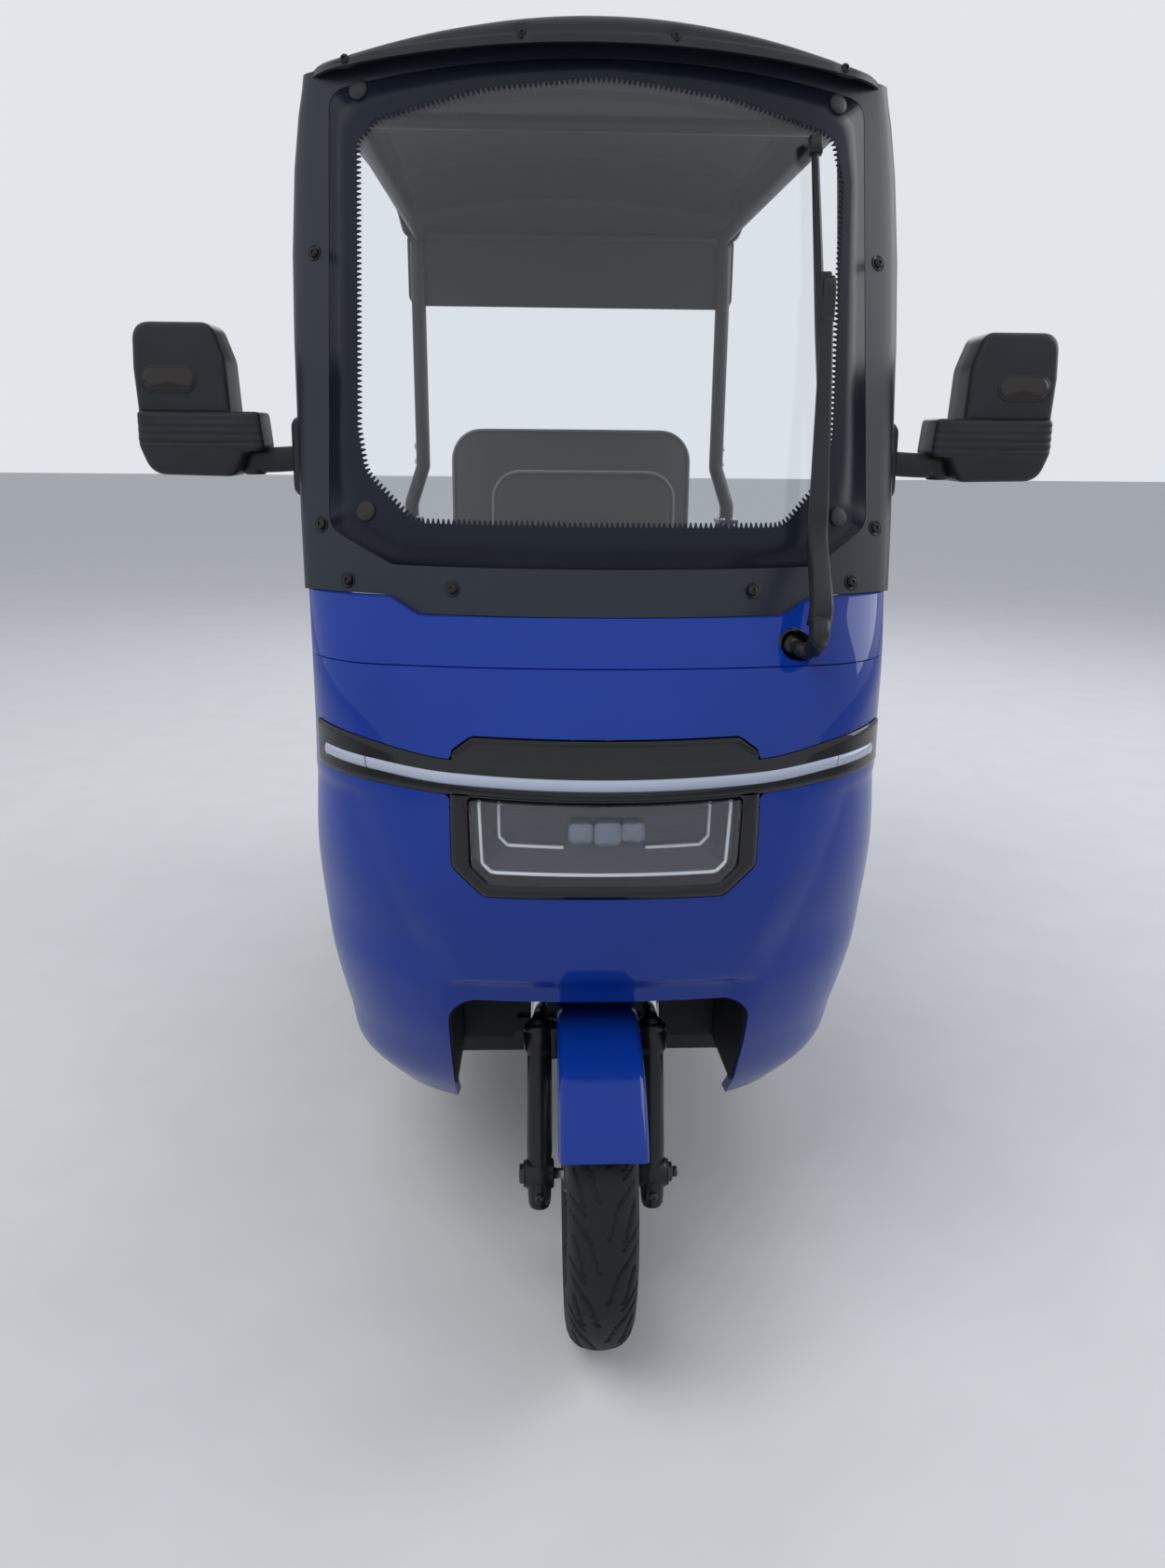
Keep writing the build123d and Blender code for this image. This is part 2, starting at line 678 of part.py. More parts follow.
# Cabin floor, legshield and arch liner
def cabin():
    floor = block(-floor_half_width, floor_half_width, down_tube_y + 18 + gap, body_front_y - gap,
                  floor_z, floor_z + floor_thickness)
    save("floor_pan", fillet(floor.edges().filter_by(Axis.Z), 30))

    # x and z of the sill: a skirt outside the floor with a flange that lies on it
    top = floor_z + floor_thickness + gap + sheet
    half, inner = floor_half_width + 12, floor_half_width - 26
    sill = [(half, 236), (half, top), (inner, top), (inner, top - sheet), (half - sheet, top - sheet),
            (half - sheet, 242), (half - 22, 242), (half - 22, 236)]
    save("side_sills", *both_sides(front_prism(sill, sill_front_y, body_front_y - seam)))

    shield = side_prism([(-560, 300), (-548, 300), (-486, 880), (-486, 905), (-800, 930), (-800, 922),
                         (-498, 896), (-498, 880)], -303, 303)
    column = fork_cylinder(0, fork_offset, 0, 900, 40)
    save("inner_legshield", shield - column - (nose_form(-20) - nose_form(sheet + gap)))


def arch_liner():
    """The black box around the front wheel, open in front, below and for the steering tubes."""
    half, wall, back = arch_half_width, liner_wall, liner_back_y
    outer = side_prism([(-886, 478), (-868, 560), (-846, 632), (-826, 646), (back, 646), (back, liner_low_z),
                        (-886, 320)], -half, half)
    inner = side_prism([(-1000, 300), (-1000, 478), (-868 + wall, 560), (-846 + wall, 630), (-826 + wall, 642),
                        (back - wall, 642), (back - wall, 100)], -half + wall, half - wall)
    notch = [(-120, 200), (-104, liner_low_z + 40), (104, liner_low_z + 40), (120, 200)]
    liner = ((outer - inner) & nose_form(sheet + gap)) - front_prism(notch, -1000, -500)
    save("wheel_arch_liner", liner - fork_cylinder(0, fork_offset, 0, 900, head_radius + 2))


def main_frame():
    head = fork_cylinder(0, fork_offset, head_bottom, head_top, head_radius)
    low_z = floor_z - 2 - rail_size
    high_z = low_z + rail_size
    half_rail = rail_size / 2
    down = Pos(0, down_tube_y, low_z) * Cylinder(18, 740 - low_z, align=at_base)
    dash = rod([(-pillar_x - 14, dash_tube_y, dash_tube_z), (pillar_x + 14, dash_tube_y, dash_tube_z)], 1, 14)
    frame = head + down + dash
    frame += block(-half_rail, half_rail, down_tube_y - 18, front_cross_y, low_z, high_z)
    left, right = rail_x - half_rail, rail_x + half_rail
    end_y = body_rear_y - 10
    pieces = both_sides(block(left, right, front_cross_y - half_rail, kick_y + 20, low_z, high_z))
    kick = [(kick_y, low_z), (kick_y + 40, low_z), (kick_y + 140, kick_low_z), (end_y, kick_low_z),
            (end_y, kick_low_z + rail_size), (kick_y + 120, kick_low_z + rail_size), (kick_y, high_z)]
    pieces += both_sides(side_prism(kick, left, right))
    for y in (front_cross_y, -100, kick_y - 40):
        pieces.append(block(-right, right, y - half_rail, y + half_rail, low_z, high_z))
    back_y = body_rear_y - sheet - gap
    pieces.append(block(-right, right, back_y - rail_size, back_y, kick_low_z, kick_low_z + rail_size))
    for piece in pieces:
        frame += piece
    save("main_frame", frame - fork_cylinder(0, fork_offset, 0, 900, steerer_radius + fit))


# Seats
def hinge_barrel(x0, x1, grow):
    """A round piece on the seat's hinge line."""
    return Pos(x0, hinge_y, hinge_z) * Rot(0, 90, 0) * Cylinder(hinge_radius + grow, x1 - x0, align=at_base)


def driver_seat():
    half = driver_seat_width / 2
    box_z = floor_z + floor_thickness + gap
    front, back = driver_seat_front_y, driver_seat_back_y
    lid_z = seat_box_top_z + gap
    across = Pos(driver_seat_x, 0, 0)

    pin = Rot(0, 90, 0) * Cylinder(hinge_pin_radius, 2 * half - 80)
    box = block(-half + 10, half - 10, front + 10, back, box_z, seat_box_top_z)
    box -= block(-half + 16, half - 16, front + 16, back - 6, box_z - 1, seat_box_top_z + 1)
    box += block(-30, 30, hinge_y, front + 12, hinge_z - 6, hinge_z + 6) + hinge_barrel(-30, 30, 0)
    box += Pos(0, hinge_y, hinge_z) * pin
    lid = block(-half, half, front, back + 60, lid_z, lid_z + seat_lid_thickness)
    lid += block(-60, 60, back + 54, back + 60, lid_z, 900)
    for low, high in ((-half + 40, -30 - gap), (30 + gap, half - 40)):
        knuckle = hinge_barrel(low, high, 0) + block(low, high, hinge_y, front + 4, lid_z, lid_z + 5)
        knuckle += block(low, high, hinge_y - 3, hinge_y + 3, hinge_z, lid_z + 5)
        lid += knuckle - Pos(low, hinge_y, hinge_z) * Rot(0, 90, 0) * Cylinder(
            hinge_pin_radius + fit, high - low, align=at_base)
    save("driver_seat_box", across * box)
    save("driver_seat_lid", across * lid)
    save("battery_pack", across * block(-120, 120, -280, 20, box_z, battery_top_z))

    cushion_z = lid_z + seat_lid_thickness + gap
    cushion = block(-half, half, front, back - gap, cushion_z, driver_seat_top_z)
    save("driver_seat_cushion", across * fillet(cushion.edges().filter_by(Axis.Z), 50))
    back_y = back + 54 - gap
    rest = block(-half, half, back_y - back_thickness, back_y, driver_seat_top_z + 30, driver_back_top_z)
    save("driver_seat_back", across * fillet(rest.edges().filter_by(Axis.Y), 55))


def rear_seat():
    half = rear_seat_width / 2
    base_z = rear_seat_top_z - cushion_thickness - gap
    base = block(-half, half, rear_seat_front_y, rear_seat_back_y + 20, floor_z - 2 + gap, base_z)
    hollow = block(-half + 6, half - 6, rear_seat_front_y + 6, rear_seat_back_y + 14, 200, base_z - 12)
    clearance = block(-400, 400, rear_seat_back_y - 70, rear_seat_back_y + 20, 200, 470)
    save("rear_bench_base", base - hollow - clearance)
    cushion = block(-half, half, rear_seat_front_y - 10, rear_seat_back_y - 70, base_z + gap, rear_seat_top_z)
    save("rear_seat_cushion", fillet(cushion.edges().filter_by(Axis.Z), 50))
    back = block(-half, half, rear_seat_back_y - 66, rear_seat_back_y, base_z + gap, rear_back_top_z)
    save("rear_seat_back", fillet(back.edges().filter_by(Axis.Y), 70))


def rear_body():
    """Side and back walls around the bench and the deck, with a rolled edge along the top."""
    front, rear, half = body_front_y, body_rear_y, body_half_width
    top = [(front, 600), (430, post_foot_z - 8), (post_y + 58, post_foot_z - 8), (rear_axle_y, 760),
           (rear, 700)]
    outer = side_prism([(front, body_low_z), *top, (rear, 450), (rear - 50, body_low_z)], -half, half)
    lowered = [(y - 60 if y == front else y, z - sheet) for y, z in top]
    hollow = side_prism([(front - 60, 200), *lowered, (rear, 200)], -half + sheet, half - sheet)
    hollow &= block(-half, half, 0, rear - sheet, 100, 1200)
    open_top = block(-half + rim_flange, half - rim_flange, 0, rear - sheet, 200, 1000)
    arch = Pos(0, rear_axle_y, axle_z) * Rot(0, 90, 0) * Cylinder(rear_arch_radius, 900)
    save("rear_body", outer - hollow - open_top - arch)

    inside = half - sheet - gap
    deck = block(-inside, inside, deck_front_y, rear - sheet - gap, deck_z, deck_z + 8)
    for x in (-deck_bolt_x, deck_bolt_x):
        for y in (-deck_bolt_y, deck_bolt_y):
            deck -= Pos(x, deck_centre_y + y, deck_z) * Cylinder(deck_bolt_radius, 40)
    save("rear_deck", deck)
    lamp = block(300, 360, rear + gap, rear + 26, 520, 660)
    save("tail_lamps", *both_sides(fillet(lamp.edges().filter_by(Axis.Y), 12)))
    bar_y = rear_end_y - 16
    bumper = rod([(-300, bar_y, 420), (300, bar_y, 420)], 1, 16)
    for side in (-1, 1):
        bumper += rod([(side * rail_x, rear - sheet, 420), (side * rail_x, bar_y, 420)], 1, 12)
    save("rear_bumper", bumper)


def rear_suspension():
    """Axle tube with the drive block, trailing arms and shock absorbers."""
    hub = Pos(0, rear_axle_y, axle_z)
    turn = Rot(0, 90, 0)
    axle = hub * turn * Cylinder(26, rear_track - 120)
    axle += hub * turn * Cylinder(axle_radius, rear_track + 2 * hub_half_length + 16)
    axle += hub * turn * Cylinder(80, 150)
    arm_high_z = floor_z - 2 - rail_size - gap
    for arm in both_sides(block(rail_x - 15, rail_x + 15, kick_y - 60, rear_axle_y, 192, arm_high_z)):
        axle += arm
    save("rear_axle", axle)
    low, high = max(axle_z + 26, arm_high_z + gap), kick_low_z - gap
    shocks = [Pos(x, rear_axle_y, low) * Cylinder(28, high - low, align=at_base) for x in (-rail_x, rail_x)]
    save("rear_shocks", *shocks)


front_wheel()
rear_wheels()
fork()
fender()
handlebar()
nose()
windscreen()
roof()
drop_panel()
cabin_frame()
rear_posts()
mirrors()
wiper()
cabin()
arch_liner()
main_frame()
driver_seat()
rear_seat()
rear_body()
rear_suspension()
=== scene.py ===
import math

import bmesh
import bpy
import numpy as np
from mathutils import Matrix, Vector


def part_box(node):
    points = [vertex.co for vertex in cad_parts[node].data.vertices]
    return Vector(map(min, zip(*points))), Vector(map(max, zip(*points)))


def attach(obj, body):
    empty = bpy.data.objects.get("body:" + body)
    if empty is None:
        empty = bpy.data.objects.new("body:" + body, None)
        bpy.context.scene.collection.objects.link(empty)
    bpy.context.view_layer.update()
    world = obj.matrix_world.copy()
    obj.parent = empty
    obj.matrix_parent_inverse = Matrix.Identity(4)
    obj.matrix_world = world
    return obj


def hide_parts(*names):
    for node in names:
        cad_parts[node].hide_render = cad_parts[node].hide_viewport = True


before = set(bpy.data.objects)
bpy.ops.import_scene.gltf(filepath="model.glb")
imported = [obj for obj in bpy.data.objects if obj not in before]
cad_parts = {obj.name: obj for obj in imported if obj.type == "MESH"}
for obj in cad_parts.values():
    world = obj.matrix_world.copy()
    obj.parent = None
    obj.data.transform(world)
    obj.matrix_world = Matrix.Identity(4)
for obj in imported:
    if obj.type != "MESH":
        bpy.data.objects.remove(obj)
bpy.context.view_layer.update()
print("frame loaded")

# mesh helpers: points are in millimetres in the row's frame, meshes in metres


def gridFaces(columns, rows, closed=False):
    # quads between neighbouring columns and rows, point number = column * rows + row
    a = np.arange(columns if closed else columns - 1)[:, None]
    b = np.arange(rows - 1)[None, :]
    c = (a + 1) % columns
    return np.stack([a * rows + b, c * rows + b, c * rows + b + 1, a * rows + b + 1], -1).reshape(-1, 4)


def addPiece(name, data, look, smooth=True):
    # look is the body that the piece rides on, a slot that is not used, and its finish
    body, slot, material = look
    data.polygons.foreach_set("use_smooth", np.full(len(data.polygons), smooth))
    data.update()
    piece = bpy.data.objects.new(name, data)
    bpy.context.scene.collection.objects.link(piece)
    data.materials.append(material)
    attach(piece, body)
    return piece


def tidyMesh(data, distance):
    # points closer than distance (in metres) become one, then every face is turned outwards
    work = bmesh.new()
    work.from_mesh(data)
    if distance:
        bmesh.ops.remove_doubles(work, verts=work.verts, dist=distance)
    bmesh.ops.recalc_face_normals(work, faces=work.faces)
    work.to_mesh(data)
    work.free()


def meshObject(name, points, faces, look, inside=None, weld=0.0, smooth=True):
    # a sheet: its faces are turned to look away from the point called inside
    points = np.asarray(points, float).reshape(-1, 3) * 0.001
    faces = np.asarray(faces)
    if inside is not None:
        corner = points[faces]
        normal = np.cross(corner[:, 2] - corner[:, 0], corner[:, 3 % faces.shape[1]] - corner[:, 1])
        middle = corner.mean(1) - np.asarray(inside, float) * 0.001
        if (normal * middle).sum() < 0:
            faces = faces[:, ::-1]
    data = bpy.data.meshes.new(name)
    data.from_pydata(points.tolist(), [], faces.tolist())
    if weld:
        tidyMesh(data, weld * 0.001)
    return addPiece(name, data, look, smooth)


def closedMesh(name, points, faces, look, smooth=True):
    # a closed shape: doubles merged, then every face turned outwards
    data = bpy.data.meshes.new(name)
    points = np.asarray(points, float).reshape(-1, 3) * 0.001
    data.from_pydata(points.tolist(), [], np.asarray(faces).tolist() if isinstance(faces, np.ndarray) else faces)
    tidyMesh(data, 1e-6)
    return addPiece(name, data, look, smooth)


def shrunkRings(outline, middle, shares, depth, axes=(0, 2)):
    # rings of an outline: middle + (outline - middle) share in its two axes, depth in the third
    points = np.zeros((len(outline), len(shares), 3))
    for column, axis in enumerate(axes):
        points[..., axis] = middle[column] + (outline[:, None, column] - middle[column]) * shares
    points[..., 3 - sum(axes)] = depth
    return points


def wall(piece, thickness, edge=0.0, offset=-1.0, segments=2):
    # gives a sheet its thickness in mm, and a small round on its edges
    shell = piece.modifiers.new("wall", "SOLIDIFY")
    shell.thickness = thickness * 0.001
    shell.offset = offset
    if edge:
        softEdges(piece, edge, segments)
    return piece


def softEdges(piece, width, segments=2, angle=40):
    # a round of the given width in mm on edges sharper than the angle
    bevel = piece.modifiers.new("edge", "BEVEL")
    bevel.width = width * 0.001
    bevel.segments = segments
    bevel.limit_method = "ANGLE"
    bevel.angle_limit = math.radians(angle)
    bevel.harden_normals = True
    return piece


def trimmedSheet(name, surface, us, vs, keep, look, inside):
    # the part of surface(u, v) where keep(points) > 0: cells outside are dropped, then the points on the cut
    # slide to keep = 0 by Newton steps along the gradient in u and v
    u, v = np.meshgrid(us, vs, indexing="ij")
    u, v = u.ravel().copy(), v.ravel().copy()
    value = keep(surface(u, v))
    faces = gridFaces(len(us), len(vs))
    good = value[faces].mean(1) > 0
    cut = np.intersect1d(faces[good], faces[~good])
    for step in range(4):
        a, b = u[cut], v[cut]
        here = keep(surface(a, b))
        du = (keep(surface(a + 0.05, b)) - here) / 0.05
        dv = (keep(surface(a, b + 0.05)) - here) / 0.05
        size = np.maximum(du ** 2 + dv ** 2, 0.05)
        u[cut] = a - np.clip(here * du / size, -4, 4)
        v[cut] = b - np.clip(here * dv / size, -4, 4)
    used, index = np.unique(faces[good], return_inverse=True)
    points = surface(u[used], v[used])
    return meshObject(name, points, index.reshape(-1, 4), look, inside)


def polygonDepth(x, z, corners):
    # distance inside a polygon, negative outside: nearest edge, signed by counting crossings
    corners = np.asarray(corners, float)
    nearest = np.full(np.shape(x), 1e9)
    enclosed = np.zeros(np.shape(x), bool)
    for (ax, az), (bx, bz) in zip(corners, np.roll(corners, -1, 0)):
        ex, ez = bx - ax, bz - az
        along = np.clip(((x - ax) * ex + (z - az) * ez) / (ex * ex + ez * ez), 0, 1)
        nearest = np.minimum(nearest, np.hypot(x - ax - along * ex, z - az - along * ez))
        if ez:
            crossing = ((az > z) != (bz > z)) & (x < ex * (z - az) / ez + ax)
            enclosed ^= crossing
    return np.where(enclosed, nearest, -nearest)


def roundBox(x, z, left, right, low, high, radius):
    # distance inside a rounded rectangle
    dx = np.abs(x - (left + right) / 2) - (right - left) / 2 + radius
    dz = np.abs(z - (low + high) / 2) - (high - low) / 2 + radius
    return radius - np.hypot(np.maximum(dx, 0), np.maximum(dz, 0)) - np.minimum(np.maximum(dx, dz), 0)


def within(outline):
    # depth inside an outline seen from the front
    return lambda p: polygonDepth(p[..., 0], p[..., 2], outline)


def onEdge(outline, reach=2.0):
    # points whose distance to the outline, seen from the front, is less than reach
    return lambda co: np.abs(within(outline)(co)) < reach


def steady(*move):
    # the same shift for every point
    return lambda co: np.array(move, float) * np.ones_like(co)


def resample(path, count, closed=False):
    # the same line with evenly spaced points
    path = np.asarray(path, float)
    if closed:
        path = np.vstack([path, path[:1]])
    length = np.concatenate([[0], np.cumsum(np.linalg.norm(np.diff(path, axis=0), axis=1))])
    at = np.linspace(0, length[-1], count, endpoint=not closed)
    return np.stack([np.interp(at, length, path[:, k]) for k in range(path.shape[1])], -1)


def smoothPath(points, count, closed=False):
    # Catmull-Rom line through the points, then evenly spaced
    p = np.asarray(points, float)
    if closed:
        p = np.vstack([p[-1:], p, p[:2]])
    else:
        p = np.vstack([2 * p[:1] - p[1:2], p, 2 * p[-1:] - p[-2:-1]])
    t = np.linspace(0, 1, 24)[None, :, None]
    a, b, c, d = p[:-3, None], p[1:-2, None], p[2:-1, None], p[3:, None]
    line = 0.5 * (2 * b + (c - a) * t + (2 * a - 5 * b + 4 * c - d) * t ** 2 + (3 * b - a - 3 * c + d) * t ** 3)
    return resample(line.reshape(-1, p.shape[1]), count, closed)


def pathFrames(path, up, closed=False):
    # along, side and up directions at each point of a path
    path = np.asarray(path, float)
    if closed:
        along = np.roll(path, -1, 0) - np.roll(path, 1, 0)
    else:
        along = np.gradient(path, axis=0)
    along /= np.linalg.norm(along, axis=1)[:, None]
    side = np.cross(along, np.broadcast_to(np.asarray(up, float), path.shape))
    side /= np.linalg.norm(side, axis=1)[:, None]
    return along, side, np.cross(side, along)


def sweptBar(name, path, profile, look, up=(0, 0, 1), scale=None, closed=False, smooth=True):
    # a closed profile of (side, up) carried along a path: point = path + side * a + up * b, ends capped
    path, profile = np.asarray(path, float), np.asarray(profile, float)
    along, side, top = pathFrames(path, up, closed)
    size = np.ones(len(path)) if scale is None else np.asarray(scale, float)
    ring = side[:, None] * profile[None, :, :1] * size[:, None, None] \
        + top[:, None] * profile[None, :, 1:] * size[:, None, None] + path[:, None]
    count = len(profile)
    a = np.arange(len(path) if closed else len(path) - 1)[:, None]
    b = np.arange(count)[None, :]
    c, d = (a + 1) % len(path), (b + 1) % count
    quads = np.stack([a * count + b, a * count + d, c * count + d, c * count + b], -1).reshape(-1, 4)
    points = ring.reshape(-1, 3)
    if not closed:
        ends = np.stack([path[0], path[-1]])
        points = np.vstack([points, ends])
        first, last = len(points) - 2, len(points) - 1
        k = np.arange(count)
        base = (len(path) - 1) * count
        capA = np.stack([k, np.full(count, first), np.full(count, first), (k + 1) % count], -1)
        capB = np.stack([base + k, base + (k + 1) % count, np.full(count, last), np.full(count, last)], -1)
        faces = [list(dict.fromkeys(f)) for f in np.vstack([quads, capA, capB]).tolist()]
        return closedMesh(name, points, faces, look, smooth)
    return closedMesh(name, points, quads, look, smooth)


def circle(radius, count=24):
    # (r cos a, r sin a)
    turn = np.linspace(0, 2 * np.pi, count, endpoint=False)
    return np.stack([radius * np.cos(turn), radius * np.sin(turn)], -1)


def roundedRectangle(width, height, radius, each=5):
    # corner arcs joined by straight sides
    turn = np.linspace(0, np.pi / 2, each)
    arc = np.stack([np.cos(turn), np.sin(turn)], -1) * radius
    cx, cy = width / 2 - radius, height / 2 - radius
    quarter = [(1, 1, 0), (-1, 1, 1), (-1, -1, 2), (1, -1, 3)]
    parts = []
    for sx, sy, k in quarter:
        c, s = math.cos(k * math.pi / 2), math.sin(k * math.pi / 2)
        parts.append(arc @ np.array([[c, s], [-s, c]]) + (sx * cx, sy * cy))
    return np.vstack(parts)


def turned(name, profile, centre, axis, look, count=48, smooth=True):
    # a profile of (distance along the axis, radius) turned about it: all rings at once
    profile = np.asarray(profile, float)
    axis = np.asarray(axis, float) / np.linalg.norm(axis)
    side = np.cross(axis, (0.0, 0.0, 1.0) if abs(axis[2]) < 0.9 else (1.0, 0.0, 0.0))
    side /= np.linalg.norm(side)
    other = np.cross(axis, side)
    turn = np.linspace(0, 2 * np.pi, count, endpoint=False)[:, None, None]
    points = np.asarray(centre, float) + profile[None, :, :1] * axis \
        + profile[None, :, 1:] * (np.cos(turn) * side + np.sin(turn) * other)
    return closedMesh(name, points, gridFaces(count, len(profile), closed=True), look, smooth)


def joined(name, pieces):
    # several meshes of one finish become one piece
    keep = pieces[0]
    work = bmesh.new()
    for piece in pieces:
        work.from_mesh(piece.data)
    work.to_mesh(keep.data)
    work.free()
    for piece in pieces[1:]:
        data = piece.data
        bpy.data.objects.remove(piece)
        bpy.data.meshes.remove(data)
    keep.name = name
    keep.data.name = name
    return keep


# finishes


def addNode(nodes, kind, values=None):
    # a shader node with some of its inputs set
    node = nodes.new("ShaderNode" + kind)
    for key, value in (values or {}).items():
        node.inputs[key].default_value = value
    return node


def newMaterial(name, values):
    # a shader with the given values, and noise(scale, detail) on object coordinates
    material = bpy.data.materials.new(name)
    material.use_nodes = True
    nodes, links = material.node_tree.nodes, material.node_tree.links
    shader = nodes["Principled BSDF"]
    for key, value in values.items():
        shader.inputs[key].default_value = value
    place = addNode(nodes, "TexCoord").outputs["Object"]

    def noise(kind, **values):
        pattern = addNode(nodes, kind, values)
        links.new(place, pattern.inputs["Vector"])
        return pattern.outputs["Distance" if kind == "TexVoronoi" else "Fac"]
    return material, nodes, links, shader, noise


def colourFrom(nodes, links, shader, pattern, dark, light, ends=(0.0, 1.0)):
    # the pattern runs from a dark to a light colour between its two ends
    ramp = addNode(nodes, "ValToRGB")
    for element, colour, end in zip(ramp.color_ramp.elements, (dark, light), ends):
        element.position, element.color = end, (*colour, 1)
    links.new(pattern, ramp.inputs["Fac"])
    links.new(ramp.outputs["Color"], shader.inputs["Base Color"])


def roughnessFrom(nodes, links, shader, pattern, low, high):
    # roughness = low + (high - low) pattern
    spread = addNode(nodes, "MapRange", {"To Min": low, "To Max": high})
    links.new(pattern, spread.inputs["Value"])
    links.new(spread.outputs["Result"], shader.inputs["Roughness"])


def bumpFrom(nodes, links, shader, pattern, strength):
    # the pattern as a height of 0.4 mm
    bump = addNode(nodes, "Bump", {"Strength": strength, "Distance": 0.0004})
    links.new(pattern, bump.inputs["Height"])
    links.new(bump.outputs["Normal"], shader.inputs["Normal"])


def finish(name, colour, roughness, metallic=0.0, coat=0.0, coatRoughness=0.05, grain=(600, 0.02), mottle=0.12,
           scratch=0.0, specular=0.5):
    # colour mottled by a slow noise, roughness by a fine one or, where scratched, the slow one; bump from the fine
    material, nodes, links, shader, noise = newMaterial(name, {
        "Metallic": metallic, "Coat Weight": coat, "Coat Roughness": coatRoughness, "Specular IOR Level": specular})
    slow, fine = noise("TexNoise", Scale=7.0, Detail=5.0), noise("TexNoise", Scale=grain[0], Detail=3.0)
    colourFrom(nodes, links, shader, slow, [c * (1 - mottle) for c in colour],
               [min(1, c * (1 + mottle)) for c in colour], (0.3, 0.7))
    roughnessFrom(nodes, links, shader, slow if scratch else fine, max(0.0, roughness - 0.06 - scratch),
                  min(1.0, roughness + 0.06 + scratch))
    bumpFrom(nodes, links, shader, fine, min(1.0, grain[1] * 10))
    return material


def clearFinish(name, tint, roughness=0.0):
    # see-through plastic or glass that lets light through for shadows
    material, nodes, links, shader, noise = newMaterial(name, {
        "Base Color": (*tint, 1), "Transmission Weight": 1.0, "IOR": 1.45, "Specular IOR Level": 0.22})
    roughnessFrom(nodes, links, shader, noise("TexNoise", Scale=9.0, Detail=6.0), roughness, roughness + 0.03)
    seeThrough = addNode(nodes, "BsdfTransparent", {"Color": (*[c ** 0.5 for c in tint], 1)})
    rays, mix = addNode(nodes, "LightPath"), addNode(nodes, "MixShader")
    links.new(rays.outputs["Is Shadow Ray"], mix.inputs["Fac"])
    links.new(shader.outputs["BSDF"], mix.inputs[1])
    links.new(seeThrough.outputs["BSDF"], mix.inputs[2])
    links.new(mix.outputs["Shader"], nodes["Material Output"].inputs["Surface"])
    return material


def leatherFinish(name, colour):
    # pebbled grain from a cell pattern, colour and roughness from a slow noise
    material, nodes, links, shader, noise = newMaterial(name, {"Specular IOR Level": 0.45})
    slow = noise("TexNoise", Scale=11.0, Detail=6.0)
    colourFrom(nodes, links, shader, slow, [c * 0.8 for c in colour], [c * 1.35 for c in colour])
    roughnessFrom(nodes, links, shader, slow, 0.42, 0.6)
    bumpFrom(nodes, links, shader, noise("TexVoronoi", Scale=700.0), 0.15)
    return material


finishes = {
    "blue": (0.0015, 0.026, 0.235),
    # the blue in charcoal is a painted sky reflection on black plastic
    "charcoal": (0.011, 0.015, 0.024),
    "roofBlack": (0.012, 0.014, 0.018),
    "glossBlack": (0.004, 0.004, 0.005),
    "leather": (0.020, 0.022, 0.026),
    "rubber": (0.012, 0.012, 0.014),
}
bluePaint = finish("bluePaint", finishes["blue"], 0.4, coat=0.6, coatRoughness=0.02, grain=(260, 0.004), mottle=0.05,
                   specular=0.05)
# charcoal black whose blue tint is a painted sky reflection
skySheenCharcoal = finish("skySheenCharcoal", finishes["charcoal"], 0.36, grain=(1500, 0.02), mottle=0.08, specular=0.4)
roofPlastic = finish("roofPlastic", finishes["roofBlack"], 0.42, grain=(1300, 0.04), mottle=0.15, specular=0.35)
linerPlastic = finish("linerPlastic", (0.010, 0.011, 0.013), 0.6, grain=(1400, 0.008), mottle=0.2, specular=0.3)
glossBlack = finish("glossBlack", finishes["glossBlack"], 0.06, grain=(90, 0.002), mottle=0.1, specular=0.45)
satinSteel = finish("satinSteel", (0.011, 0.012, 0.014), 0.38, grain=(700, 0.02), mottle=0.2, scratch=0.05,
                    specular=0.35)
forkBlack = finish("forkBlack", (0.007, 0.008, 0.009), 0.3, grain=(500, 0.012), mottle=0.2, scratch=0.04,
                   specular=0.35)
chrome = finish("chrome", (0.74, 0.75, 0.77), 0.09, metallic=1.0, grain=(400, 0.004), mottle=0.05)
zinc = finish("zinc", (0.42, 0.42, 0.43), 0.36, metallic=1.0, grain=(300, 0.02), mottle=0.15, scratch=0.05)
alloy = finish("alloy", (0.075, 0.077, 0.082), 0.35, metallic=0.6, grain=(420, 0.015), mottle=0.1)
discSteel = finish("discSteel", (0.5, 0.5, 0.5), 0.24, metallic=1.0, grain=(200, 0.01), mottle=0.1, scratch=0.08)
tyreRubber = finish("tyreRubber", finishes["rubber"], 0.62, grain=(380, 0.05), mottle=0.3, specular=0.25)
plainRubber = finish("plainRubber", (0.013, 0.013, 0.014), 0.55, grain=(500, 0.04), mottle=0.15)
leather = leatherFinish("leather", finishes["leather"])
pipingCloth = finish("pipingCloth", (0.10, 0.105, 0.115), 0.5, grain=(900, 0.05), mottle=0.1)
windowGlass = clearFinish("windowGlass", (0.93, 0.955, 0.97))
lampPlastic = clearFinish("lampPlastic", (0.97, 0.98, 0.99))
# white strip plastic coloured grey-blue: painted shade
diffuser = finish("diffuser", (0.32, 0.36, 0.46), 0.2, coat=0.5, grain=(80, 0.003), mottle=0.04)
lampLine = finish("lampLine", (0.80, 0.84, 0.90), 0.3, grain=(80, 0.003), mottle=0.03)
reflector = finish("reflector", (0.05, 0.056, 0.07), 0.16, metallic=0.75, grain=(150, 0.003), mottle=0.1)
mirrorGlass = finish("mirrorGlass", (0.8, 0.82, 0.84), 0.04, metallic=1.0, grain=(60, 0.001), mottle=0.02)
redPlastic = finish("redPlastic", (0.36, 0.008, 0.010), 0.15, coat=1.0, grain=(90, 0.003), mottle=0.1)
